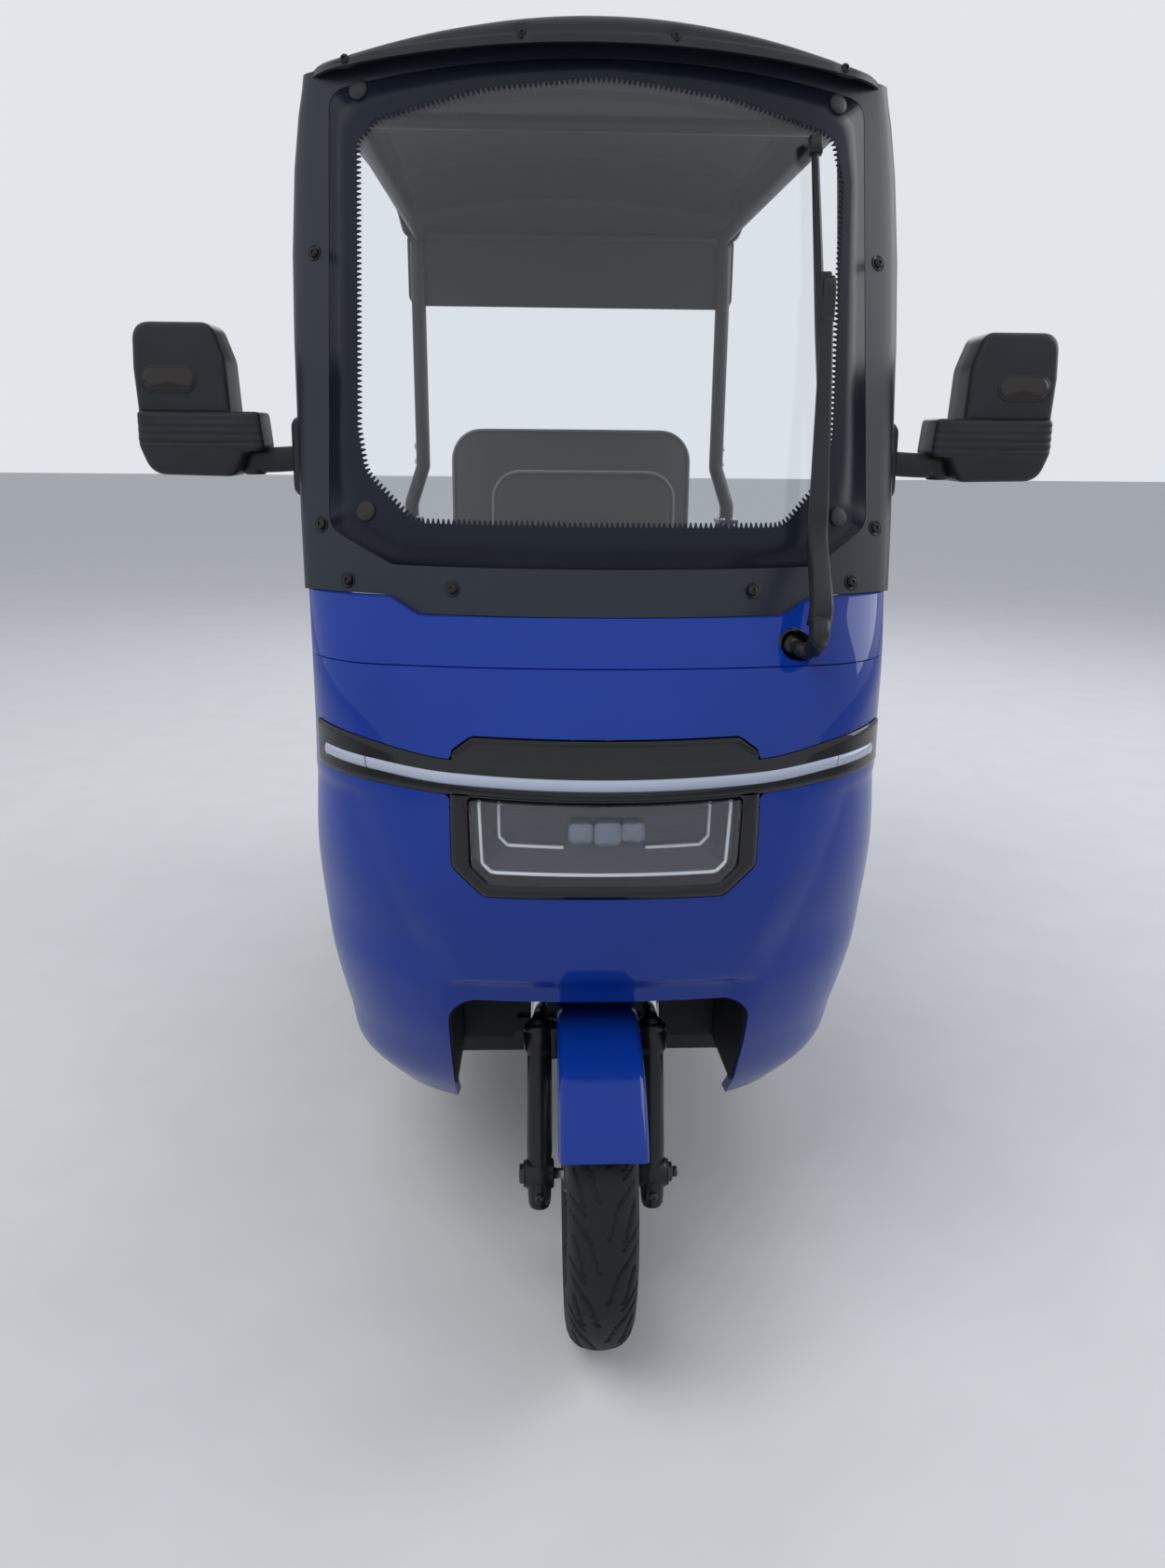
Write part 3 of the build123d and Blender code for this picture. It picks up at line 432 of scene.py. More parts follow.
smokedPlastic = finish("smokedPlastic", (0.016, 0.011, 0.010), 0.1, grain=(90, 0.003), mottle=0.1, specular=0.45)
blackZinc = finish("blackZinc", (0.045, 0.045, 0.048), 0.36, metallic=0.7, grain=(300, 0.02), mottle=0.2,
                   scratch=0.05)
batteryPlastic = finish("batteryPlastic", (0.03, 0.032, 0.04), 0.5, grain=(500, 0.03), mottle=0.2)
# looks of the pieces: the body they ride on, their slot and their finish
blueBody = ("chassis", "body_blue", bluePaint)
blackPart = ("chassis", "black_moulding", roofPlastic)
darkRing = ("chassis", "black_moulding", glossBlack)
darkScrew = ("chassis", "black_moulding", satinSteel)
glossPart = ("chassis", "gloss_black", glossBlack)
steelPart = ("chassis", "frame_steel", satinSteel)
zincPart = ("chassis", "frame_steel", zinc)
rubberPart = ("chassis", "rubber", plainRubber)
forkPart = ("steering", "fork_black", forkBlack)
axlePart = ("steering", "axle_steel", blackZinc)
barPart = ("steering", "frame_steel", satinSteel)
podPart = ("steering", "black_moulding", roofPlastic)
print("finishes ready")


# shared shapes


def roundCorners(corners, radii, each=7):
    # each corner becomes a short arc that meets its two sides at the radius's tangent points
    corners = np.asarray(corners, float)
    points = []
    for i, radius in enumerate(np.broadcast_to(radii, len(corners))):
        here, before, after = corners[i], corners[i - 1], corners[(i + 1) % len(corners)]
        a = (before - here) / np.linalg.norm(before - here)
        b = (after - here) / np.linalg.norm(after - here)
        half = math.acos(np.clip(a @ b, -1, 1)) / 2
        if radius < 0.1 or half > 1.55:
            points.append(here[None])
            continue
        reach = min(radius / math.tan(half), 0.48 * np.linalg.norm(before - here),
                    0.48 * np.linalg.norm(after - here))
        t = np.linspace(0, 1, each)[:, None]
        points.append((1 - t) ** 2 * (here + a * reach) + 2 * t * (1 - t) * here + t ** 2 * (here + b * reach))
    return np.vstack(points)


def smooth(value):
    # 0 to 1 with flat ends: 3 t^2 - 2 t^3
    t = np.clip(value, 0, 1)
    return t * t * (3 - 2 * t)


def turnIn(piece, chosen, shift, steps=1):
    # border edges whose points are chosen grow a strip: each new point is the old one moved by shift(points)
    work = bmesh.new()
    work.from_mesh(piece.data)
    work.edges.ensure_lookup_table()
    border = [e for e in work.edges if e.is_boundary]
    at = np.array([[v.co[:] for v in e.verts] for e in border]).reshape(-1, 3) * 1000
    wanted = chosen(at).reshape(-1, 2).all(1)
    edges = [e for e, yes in zip(border, wanted) if yes]
    for step in range(steps):
        made = bmesh.ops.extrude_edge_only(work, edges=edges)["geom"]
        points = [g for g in made if isinstance(g, bmesh.types.BMVert)]
        co = np.array([v.co[:] for v in points]) * 1000
        for v, new in zip(points, (co + shift(co) / steps) * 0.001):
            v.co = new
        edges = [g for g in made if isinstance(g, bmesh.types.BMEdge) and g.is_boundary]
    work.to_mesh(piece.data)
    work.free()
    piece.data.polygons.foreach_set("use_smooth", np.full(len(piece.data.polygons), True))
    return piece


def boltHead(name, centre, axis, radius, look, height=None, socket=True):
    # a turned button head with a hollow for its key, standing on its surface
    height = height or radius * 0.55
    profile = [(-0.6, 0), (-0.6, radius), (height * 0.35, radius), (height * 0.8, radius * 0.82),
               (height, radius * 0.55)]
    if socket:
        profile += [(height, radius * 0.48), (height * 0.45, radius * 0.44), (height * 0.4, 0)]
    else:
        profile += [(height, 0)]
    return turned(name, profile, centre, axis, look, count=18, smooth=False)


def hexNut(name, centre, axis, radius, height, look):
    # a turned profile with six sides
    profile = [(0, 0), (0, radius), (height * 0.85, radius), (height, radius * 0.86), (height, 0)]
    return turned(name, profile, centre, axis, look, count=6, smooth=False)


# nose panels: point(s, z) with s = 0..1 the front, 1..2 the cheek, 2..3 the side

noseShape = {
    "rows": [(262, 283, -660, 150, -745, -752), (310, 314, -690, 154, -792, -798), (400, 329, -728, 160, -850, -860),
             (500, 341, -765, 172, -888, -900), (640, 351, -785, 212, -912, -936), (775, 345, -785, 254, -880, -951),
             (885, 343, -790, 262, -852, -884), (960, 350, -752, 250, -804, -824)],
    "cheekTurn": 20.0, "cheekShare": 0.62, "sideEndY": -600.0, "cornerSpread": 0.035,
    "foldZ": 517.0, "foldRun": 20.0, "foldDepth": 14.0, "panelGap": 0.8,
    "bevelFrom": 0.95, "bevelTo": [(480, 1.06), (495, 1.09), (524, 1.135), (589, 1.17), (667, 1.235), (738, 1.32)],
    "bevelDepth": 10.0, "bevelTop": 752.0, "bevelFade": 22.0, "bevelLow": (490.0, 80.0),
}
noseRows = np.array(noseShape["rows"], float)


def noseValues(z):
    # Hermite curve through the rows: slopes are finite differences
    at, values = noseRows[:, 0], noseRows[:, 1:]
    slope = np.gradient(values, at, axis=0)
    z = np.clip(z, at[0], at[-1])
    k = np.clip(np.searchsorted(at, z) - 1, 0, len(at) - 2)
    width = (at[k + 1] - at[k])[:, None]
    t = ((z - at[k]) / width[:, 0])[:, None]
    return (2 * t ** 3 - 3 * t ** 2 + 1) * values[k] + (t ** 3 - 2 * t ** 2 + t) * width * slope[k] \
        + (3 * t ** 2 - 2 * t ** 3) * values[k + 1] + (t ** 3 - t ** 2) * width * slope[k + 1]


def noseRaw(s, z, inset):
    # front: x = f t, y = n + (e - n) t^2; cheek: quadratic curve from (f, e) to (h, d); side: straight back
    half, shoulderY, facetX, facetY, noseY = noseValues(z).T
    half, facetX = half - inset, facetX - inset * 0.4
    shoulderY = shoulderY + noseShape["cheekTurn"] + inset * 0.5
    facetY, noseY = facetY + inset, noseY + inset
    side = np.abs(s)
    t, c, d = np.clip(side, 0, 1), np.clip(side - 1, 0, 1), np.clip(side - 2, 0, 1)
    share = noseShape["cheekShare"]
    middleX = facetX + share * (half - facetX)
    middleY = facetY + (1 - share) * (shoulderY - facetY)
    pullX, pullY = 2 * middleX - (facetX + half) / 2, 2 * middleY - (facetY + shoulderY) / 2
    x = facetX * t + ((1 - c) ** 2 - 1) * facetX + 2 * c * (1 - c) * pullX + c ** 2 * half
    y = noseY + (facetY - noseY) * t ** 2 + ((1 - c) ** 2 - 1) * facetY + 2 * c * (1 - c) * pullY + c ** 2 * shoulderY
    y = y + (noseShape["sideEndY"] - shoulderY) * d
    return np.sign(s) * x, y


def nose(u, z, inset=0.0):
    # the raw plan averaged over neighbours of s, which rounds its corners; below the fold the front steps back
    s = u / 200.0
    offsets = noseShape["cornerSpread"] * np.array([-1.5, -1, -0.5, 0, 0.5, 1, 1.5])
    weights = np.array([1, 2, 3, 4, 3, 2, 1]) / 16
    x, y = 0, 0
    for offset, weight in zip(offsets, weights):
        a, b = noseRaw(np.clip(s + offset, -3, 3), z, inset)
        x, y = x + a * weight, y + b * weight
    shape = noseShape
    front = smooth((1.13 - np.abs(s)) / 0.24)
    y = y + shape["foldDepth"] * smooth((shape["foldZ"] - z) / shape["foldRun"]) * front
    to = np.interp(z, *np.array(shape["bevelTo"]).T)
    bevelShare = np.clip((np.abs(s) - shape["bevelFrom"]) / (to - shape["bevelFrom"]), 0, 1)
    y = y + shape["bevelDepth"] * bevelShare * smooth((shape["bevelTop"] - z) / shape["bevelFade"]) \
        * smooth((z - shape["bevelLow"][0]) / shape["bevelLow"][1]) * smooth((2.9 - np.abs(s)) / 0.8)
    return np.stack([x, y, z], -1)


def noseAtX(x, z, inset=0.0):
    # point of the front of the nose at a given x: s is found by bisection on the same formula
    x, z = np.atleast_1d(np.asarray(x, float)), np.atleast_1d(np.asarray(z, float))
    low, high = np.full(x.shape, -440.0), np.full(x.shape, 440.0)
    for step in range(26):
        middle = (low + high) / 2
        right = nose(middle, z, inset)[:, 0] < x
        low, high = np.where(right, middle, low), np.where(right, high, middle)
    return nose((low + high) / 2, z, inset)


barShape = {"low": 753.0, "high": 790.0, "endY": -800.0, "riseFrom": 170.0, "riseRun": 170.0, "riseHigh": 21.0,
            "riseStrip": 10.0, "riseLow": 6.0, "stripZ": 771.0, "stripHeight": 12.5, "stripProud": 3.2,
            "stripEndY": -826.0, "divider": 220.0, "visorHalf": 170.0, "visorHigh": 816.0, "visorCut": 22.0}
bezelShape = {"half": 172.0, "low": 632.0, "chamfer": 36.0, "margin": 20.0, "lensLow": 647.0, "lensChamfer": 22.0}


def barRise(x, high):
    # the bar climbs towards its ends: high times the flat-ended step of |x|
    return high * smooth((np.abs(x) - barShape["riseFrom"]) / barShape["riseRun"])


def barOutline(grow=0.0):
    # lower and upper edge of the light bar, raised towards the ends; grow widens the shape all round
    b = barShape
    x = np.concatenate([[-600], np.linspace(-340, -170, 11), np.linspace(170, 340, 11), [600]])
    low = np.column_stack([x, b["low"] - grow + barRise(x, b["riseLow"])])
    high = np.column_stack([x, b["high"] + grow + barRise(x, b["riseHigh"])])
    return np.vstack([low, high[::-1]])


def visorOutline(grow=0.0):
    # a flat hexagon above the bar
    half, high, cut = barShape["visorHalf"] + grow, barShape["visorHigh"] + grow, barShape["visorCut"]
    return roundCorners([(-half, 770), (half, 770), (half, high - cut * 0.75), (half - cut, high),
                         (-half + cut, high), (-half, high - cut * 0.75)], [0, 0, 5, 5, 5, 5])


def bezelOutline(grow=0.0):
    # a rectangle under the bar with its lower corners cut off
    b = bezelShape
    half, low = b["half"] + grow, b["low"] - grow
    cut = b["chamfer"]
    return roundCorners([(half, 790), (half, low + cut), (half - cut, low), (-half + cut, low), (-half, low + cut),
                         (-half, 790)], [0, 14, 14, 14, 14, 0])


def lensOutline(grow=0.0):
    # the bezel's opening, the same shape a margin smaller
    b = bezelShape
    half, low, high = b["half"] - b["margin"] + grow, b["lensLow"] - grow, barShape["low"] - 4 + grow
    cut = b["lensChamfer"]
    return roundCorners([(half, high), (half - 1, low + cut), (half - cut, low), (-half + cut, low),
                         (-half + 1, low + cut), (-half, high)], [2, 8, 8, 8, 8, 2])


def inArch(p, grow=0.0):
    # distance inside the wheel arch, a rectangle with rounded corners seen from the front
    return roundBox(p[..., 0], p[..., 2], -185 - grow, 185 + grow, -475, 475 + grow, 32)


def inBlack(p, grow):
    # how far inside the black front parts: light bar, visor or bezel
    x, y, z = p[..., 0], p[..., 1], p[..., 2]
    bar = np.minimum(polygonDepth(x, z, barOutline(grow)), barShape["endY"] + grow - y)
    return np.maximum(np.maximum(bar, polygonDepth(x, z, visorOutline(grow))), polygonDepth(x, z, bezelOutline(grow)))


def backwards(distance, inwards=0.0):
    # shift for turnIn: back by distance and towards the middle
    def shift(co):
        move = np.zeros_like(co)
        move[:, 1] = distance
        move[:, 0] = -np.sign(co[:, 0]) * inwards
        return move
    return shift


gap = noseShape["panelGap"]
frontCowl = trimmedSheet("frontCowl", nose, np.arange(-600, 601, 7.5), np.linspace(262, 884.3, 92),
                         lambda p: np.minimum(-inArch(p), -inBlack(p, gap)), blueBody, (0, -300, 600))
turnIn(frontCowl, lambda co: (np.abs(inArch(co)) < 3) & (co[:, 1] < -610), backwards(20, 3), 2)
turnIn(frontCowl, lambda co: (np.abs(inBlack(co, gap)) < 2.5), backwards(8), 1)
turnIn(frontCowl, lambda co: co[:, 2] > 883.5, backwards(8), 1)
turnIn(frontCowl, lambda co: (co[:, 2] < 262.5) & (np.abs(co[:, 0]) > 186), steady(0, 14, 3), 1)
wall(frontCowl, 2.6, 0.9)
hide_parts("front_cowl")

surroundShape = {"bulge": [(930, 0), (1040, 7), (1140, 11.5), (1240, 16), (1340, 18), (1440, 15.5), (1500, 10),
                           (1530, 5), (1560, 2)], "half": 353.0, "base": 936.0, "stepX": 210.0, "step": 19.0,
                 "stepRun": 34.0, "glassHalf": 321.0, "glassLow": 988.0, "glassHigh": 1543.0, "glassCrown": 20.0,
                 "cutX": 68.0, "cutZ": 44.0}
screenRadius, screenSin, screenCos = 724.6, math.sin(math.radians(17)), math.cos(math.radians(17))


def surroundOutline(grow=0.0, top=1700.0):
    # front view of the surround's lower edge, with a step down towards the middle
    s = surroundShape
    half, base, stepZ = s["half"] + grow + 200, s["base"] - grow, s["base"] + s["step"] - grow
    outer = s["stepX"] + s["stepRun"]
    return roundCorners([(-half, top), (-half, stepZ), (-outer, stepZ), (-s["stepX"], base), (s["stepX"], base),
                         (outer, stepZ), (half, stepZ), (half, top)], [0, 0, 14, 14, 14, 14, 0, 0])


def aboveCowl(p, grow=0.0):
    # distance above the surround's lower edge
    return within(surroundOutline(grow))(p)


wiperHole = noseAtX(221, 906)[0]
upperCowl = trimmedSheet("upperCowl", nose, np.arange(-600, 601, 5.0), np.linspace(885.7, 960, 18),
                         lambda p: np.minimum(-aboveCowl(p, 0.6), np.linalg.norm(p - wiperHole, axis=-1) - 20.0),
                         blueBody, (0, -300, 600))
turnIn(upperCowl, lambda co: np.abs(np.linalg.norm(co - wiperHole, axis=-1) - 20.0) < 2, backwards(12), 1)
turnIn(upperCowl, lambda co: (np.abs(aboveCowl(co, 0.6)) < 2) & (co[:, 1] < -650), backwards(22), 1)
turnIn(upperCowl, lambda co: (co[:, 2] < 886.2) & (co[:, 1] < 0), steady(0, 7, -6), 2)
wall(upperCowl, 2.6, 0.9)
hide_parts("upper_cowl")
print("cowls")


def outsideSet(depth):
    # a little in front of the cowl surface
    return lambda u, z: nose(u, z, -depth)


def barSurface(u, z):
    # band with a soft round along its edges: depth runs off in the last 4 mm
    p = nose(u, z, -3.0)
    b = barShape
    edge = np.minimum(z - b["low"] - barRise(p[:, 0], b["riseLow"]), b["high"] + barRise(p[:, 0], b["riseHigh"]) - z)
    p[:, 1] += 2.5 * (1 - smooth(edge / 5)) ** 2
    return p


def inBar(p):
    # distance inside the bar's outline, and in front of its end
    x, y, z = p[..., 0], p[..., 1], p[..., 2]
    return np.minimum(polygonDepth(x, z, barOutline()), barShape["endY"] - y)


lightBar = trimmedSheet("lightBar", barSurface, np.arange(-460, 461, 6.0), np.linspace(751, 814, 30), inBar,
                        glossPart, (0, -300, 780))
turnIn(lightBar, lambda co: co[:, 1] < 0, backwards(10), 1)
wall(lightBar, 2.0, 0.8)


def visorSurface(u, z):
    # raised rim round a slightly sunk face
    p = nose(u, z, -2.0)
    depth = polygonDepth(p[:, 0], z, visorOutline(-0.5))
    p[:, 1] += 2.6 * smooth((depth - 3) / 3) - 1.0
    return p


visorPanel = trimmedSheet("visorPanel", visorSurface, np.arange(-200, 201, 2.5), np.linspace(786, 818, 18),
                          lambda p: np.minimum(within(visorOutline(-0.5))(p), p[..., 2] - 787), glossPart,
                          (0, -300, 780))
turnIn(visorPanel, lambda co: co[:, 1] < 0, backwards(8), 1)
wall(visorPanel, 2.0, 0.6)
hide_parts("light_bar")


def stripSurface(u, t):
    # half round across the strip: y = -proud sqrt(1 - t^2), t = -1..1 from its lower to its upper edge
    b = barShape
    x = nose(u, np.full(len(u), b["stripZ"]), -3.0)[:, 0]
    p = nose(u, b["stripZ"] + barRise(x, b["riseStrip"]) + t * b["stripHeight"] / 2, -3.0)
    p[:, 1] -= b["stripProud"] * np.sqrt(np.clip(1 - t ** 2, 0.02, 1))
    return p


lightStrip = []
stripLook = ("chassis", "diffuser", diffuser)
split = barShape["divider"]
for name, left, right in (("lightStripRight", -395, -split - 1.4), ("lightStripMiddle", -split, split),
                          ("lightStripLeft", split + 1.4, 395)):
    columns = np.linspace(left, right, int((right - left) / 4))
    lightStrip.append(trimmedSheet(name, stripSurface, columns, np.linspace(-1, 1, 10),
                                   lambda p: barShape["stripEndY"] - p[..., 1], stripLook, (0, -300, 771)))
for piece in lightStrip:
    turnIn(piece, lambda co: co[:, 1] < 0, backwards(5), 1)
    wall(piece, 1.5)
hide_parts("light_bar_strip")


def bezelSurface(u, z):
    # flat rim with a narrow slope round the lens opening and round its outside
    p = nose(u, z, -3.0)
    inner = -polygonDepth(p[:, 0], z, lensOutline())
    outer = polygonDepth(p[:, 0], z, bezelOutline())
    p[:, 1] += 4.0 * (1 - smooth(inner / 5)) + 3.0 * (1 - smooth(outer / 4))
    return p


def inBezel(p):
    # between the bezel's outline and the lens, below the light bar
    return np.minimum(np.minimum(within(bezelOutline())(p), 752.2 - p[..., 2]), -within(lensOutline())(p))


headlampBezel = trimmedSheet("headlampBezel", bezelSurface, np.arange(-215, 216, 2.5), np.linspace(630, 753, 56),
    inBezel, glossPart, (0, -300, 700))
turnIn(headlampBezel, onEdge(lensOutline()), backwards(26, 1), 2)
turnIn(headlampBezel, lambda co: onEdge(bezelOutline())(co) & (co[:, 2] < 751), backwards(6), 1)
wall(headlampBezel, 1.8, 0.5)
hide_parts("headlamp_bezel")

headlampLens = trimmedSheet("headlampLens", outsideSet(1.0), np.arange(-195, 196, 4.0), np.linspace(640, 756, 36),
    within(lensOutline(-0.6)), ("chassis", "lamp_lens", lampPlastic), (0, -300, 700))
wall(headlampLens, 2.0)
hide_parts("headlamp_lens")

lampShape = {"outer": [(140, 752), (137.5, 671), (127, 660), (-127, 660), (-137.5, 671), (-140, 752)],
             "inner": [(119, 752), (118.5, 698), (109, 688), (-109, 688), (-118.5, 698), (-119, 752)],
             "innerEnd": 46.0, "rimDepth": 12.0, "floorDepth": 32.0, "ribPitch": 5.0, "lineWidth": 3.6}
lampOuter = [(140, 860)] + lampShape["outer"][1:-1] + [(-140, 860)]
lampInner = [(119, 860)] + lampShape["inner"][1:-1] + [(-119, 860)]


def lampSurface(u, z):
    # rim, slope and floor: depth = rim + (floor - rim) a / (a + b), a and b the distances to the two light lines
    p = nose(u, z, 0.0)
    x = p[:, 0]
    a = np.clip(polygonDepth(x, z, lampOuter), 0, None)
    b = np.clip(-polygonDepth(x, z, lampInner), 0, None)
    depth = lampShape["rimDepth"] + (lampShape["floorDepth"] - lampShape["rimDepth"]) * a / np.maximum(a + b, 0.01)
    inside = smooth(polygonDepth(x, z, lampInner) / 3) * smooth((np.abs(x - 2) - 52) / 3)
    depth = depth + inside * 1.4 * np.abs(np.sin(np.pi * z / lampShape["ribPitch"]))
    below = smooth((657 - z) / 2)
    depth = depth + below * 1.0 * np.abs(np.sin(np.pi * x / 4.0))
    p[:, 1] += depth
    return p


lampUnit = trimmedSheet("lampUnit", lampSurface, np.arange(-190, 191, 2.2), np.arange(640, 758, 1.4),
                        within(lensOutline(0.5)), ("chassis", "lamp_reflector", reflector), (0, -300, 700))
wall(lampUnit, 1.5)
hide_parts("headlamp_unit")


def lampLineBar(name, corners, depth):
    # a flat bar along the corners, laid on the lamp at its depth
    path = resample(roundCorners(corners, [0] + [6] * (len(corners) - 2) + [0]), 90)
    at = noseAtX(path[:, 0], path[:, 1], depth)
    half = lampShape["lineWidth"] / 2
    return sweptBar(name, at, roundedRectangle(2 * half, 5, 1.2, 3), ("chassis", "lamp_lens", lampLine),
                    up=(0, -1, 0.05))


lines = [lampLineBar("lampLineOuter", lampShape["outer"], lampShape["rimDepth"] - 2)]
for side in (1, -1):
    corners = [(side * x, z) for x, z in lampShape["inner"][:3]] + [(side * lampShape["innerEnd"], 688)]
    lines.append(lampLineBar("lampLineInner", corners, lampShape["floorDepth"] - 2))
joined("lampLines", lines)


def domedPad(name, outline, centre, front, back, dome, look, rings=9):
    # rings of the outline shrink towards the middle while the face rises as dome (1 - k^2)
    outline = np.asarray(outline, float)
    k = np.concatenate([np.linspace(0, 1, rings), [1.0, 1.0]])
    rise = np.concatenate([dome * (1 - np.linspace(0, 1, rings) ** 2), [-(back - front) * 0.5, -(back - front)]])
    points = shrunkRings(outline + (centre[0], centre[2]), (centre[0], centre[2]), k, front - rise)
    return closedMesh(name, points, gridFaces(len(outline), len(k), closed=True), look)


projector = finish("projector", (0.13, 0.16, 0.22), 0.06, metallic=0.25, coat=1.0, grain=(80, 0.002), mottle=0.15)
eyeLook = ("chassis", "lamp_reflector", projector)
eyes = []
for x, half, z in ((-27, 14.5, 709), (31, 14.0, 710), (3, 16.0, 708)):
    face = noseAtX(x, z, lampShape["floorDepth"] - 9)[0]
    shape = roundedRectangle(2 * half, 2 * half - 2, 8.5, 6)
    eyes.append(domedPad("lampEye", shape, (x, 0, z), face[1], face[1] + 10, 6, eyeLook))
joined("lampEyes", eyes)
print("headlamp")


# windscreen: point(x, z) on a raked cylinder, y = base + (v(x) + offset) / cos + (z - 936) tan


def screen(x, z, offset=0.0):
    # v(x) = r - sqrt(r^2 - x^2), the cylinder's depth; offset stands in front of it
    v = screenRadius - np.sqrt(screenRadius ** 2 - np.minimum(np.abs(x), 640.0) ** 2)
    return np.stack([x, -842 + (v + offset) / screenCos + (z - 936) * screenSin / screenCos, z], -1)


def surroundRaw(u, z):
    # front face, then a straight side running back; outside the glass the face widens by the bulge at each z
    half, glass = surroundShape["half"], surroundShape["glassHalf"]
    wide = np.interp(z, *np.array(surroundShape["bulge"], float).T)
    x = np.clip(u, -half, half)
    x = x + np.sign(u) * wide * smooth((np.abs(x) - glass) / (half - glass))
    p = screen(x, z)
    p[..., 1] += np.maximum(np.abs(u) - half, 0)
    return p


def surroundSurface(u, z):
    # the corner is rounded by a weighted mean over u
    return sum(surroundRaw(u + d, z) * w for d, w in ((-9, 0.15), (-4.5, 0.2), (0, 0.3), (4.5, 0.2), (9, 0.15)))


def glassOutline(inset=0.0):
    # cut lower corners, and an arched top: z = high - crown t^2 - 2 t^8, t = -1..1 across
    s = surroundShape
    half, low, high = s["glassHalf"] - inset, s["glassLow"] + inset, s["glassHigh"] - inset
    top = np.linspace(1, -1, 15)
    arch = np.stack([top * half, high - s["glassCrown"] * top ** 2 - 2.0 * top ** 8], -1)
    corners = [(-half, low + s["cutZ"] - 6), (-half + s["cutX"] + 10, low), (half - s["cutX"], low),
               (half, low + s["cutZ"])]
    radii = [26, 26, 26, 26] + [24] + [0] * 13 + [24]
    return roundCorners(np.vstack([corners, arch]), radii, 6)


def lipHeight(x):
    # the roof's front lip: z = 1554 - 14 (x / 340)^2
    return 1554 - 14 * (x / 340) ** 2


glassEdge = glassOutline()


def onSurround(p):
    # between the cowl, the roof's lip and the glass
    x, z = p[..., 0], p[..., 2]
    return np.minimum(np.minimum(aboveCowl(p), lipHeight(x) + 7 - z), -polygonDepth(x, z, glassEdge))


windscreenSurround = trimmedSheet(
    "windscreenSurround", surroundSurface, np.arange(-419, 420, 7.0), np.linspace(930, 1562, 92), onSurround,
    ("chassis", "black_moulding", skySheenCharcoal), (0, 0, 1200))
turnIn(windscreenSurround, onEdge(glassEdge, 2.2), backwards(14), 2)
turnIn(windscreenSurround, lambda co: np.abs(aboveCowl(co)) < 2.2, backwards(20), 1)
wall(windscreenSurround, 2.4, 1.2)
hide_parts("windscreen_frame")

windscreenGlass = trimmedSheet("windscreenGlass", lambda u, z: screen(u, z, 0.8), np.linspace(-324, 324, 48),
    np.linspace(985, 1546, 48), within(glassOutline(1.6)), ("chassis", "glazing", windowGlass), (0, 0, 1200))
wall(windscreenGlass, 4.0)
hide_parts("windscreen")

bandShape = {"clear": [(-285, 1140), (-276, 1090), (-217, 1035), (211, 1033), (268, 1090), (276, 1140), (292, 1424),
                       (279, 1479), (145, 1509), (4, 1524), (-134, 1513), (-262, 1487), (-286, 1462)],
             "radii": [20, 40, 34, 34, 46, 20, 16, 30, 200, 200, 200, 30, 16], "tooth": 5.6, "pitch": 6.0}


def printedBand():
    # from a saw-toothed inner line to the glass edge: p = inner (1 - k) + outer k, laid on the glass
    clear = roundCorners(bandShape["clear"], bandShape["radii"], 9)
    length = np.linalg.norm(np.diff(np.vstack([clear, clear[:1]]), axis=0), axis=1).sum()
    count = int(length / bandShape["pitch"]) * 4
    inner = resample(clear, count, closed=True)
    along = np.roll(inner, -1, 0) - np.roll(inner, 1, 0)
    normal = np.stack([along[:, 1], -along[:, 0]], -1) / np.linalg.norm(along, axis=1)[:, None]
    middle = inner.mean(0)
    normal *= np.sign(((inner - middle) * normal).sum(1))[:, None]
    tooth = np.tile([0.0, 0.0, 1.0, 1.0], count // 4)
    outer = resample(glassOutline(0.6), 2400, closed=True)
    angle = np.arctan2(inner[:, 1] - middle[1], inner[:, 0] - middle[0])
    outerAngle = np.arctan2(outer[:, 1] - middle[1], outer[:, 0] - middle[0])
    order = np.argsort(outerAngle)
    reach = np.stack([np.interp(angle, outerAngle[order], outer[order, k], period=2 * np.pi) for k in (0, 1)], -1)
    start = inner - normal * tooth[:, None] * bandShape["tooth"]
    k = np.array([0.0, 0.3, 1.0])
    grid = (inner + normal * 0.8)[:, None] * (1 - k[None, :, None]) + reach[:, None] * k[None, :, None]
    grid = np.concatenate([start[:, None], grid], 1)
    points = screen(grid[..., 0], grid[..., 1], 0.1)
    return meshObject("windscreenBand", points, gridFaces(count, len(k) + 1, closed=True),
                      ("chassis", "black_moulding", bandBlack), (0, 0, 1200))


bandBlack = finish("bandBlack", (0.007, 0.010, 0.018), 0.3, grain=(200, 0.003), mottle=0.1, specular=0.2)
wall(printedBand(), 0.6)
gasketLine = resample(glassOutline(0.2), 260, closed=True)
sweptBar("windscreenGasket", screen(gasketLine[:, 0], gasketLine[:, 1], 4.2), circle(2.9, 8), rubberPart,
         up=(0, -1, 0.3), closed=True)


def onGlass(x, z, offset=0.0):
    # one point of the windscreen
    return screen(np.atleast_1d(float(x)), np.atleast_1d(float(z)), offset)[0]


def glassNormal(x, z):
    # the glass's direction across it, crossed with its direction up it
    outward = np.cross(onGlass(x + 1, z) - onGlass(x - 1, z), (0, screenSin, screenCos))
    return outward / np.linalg.norm(outward)


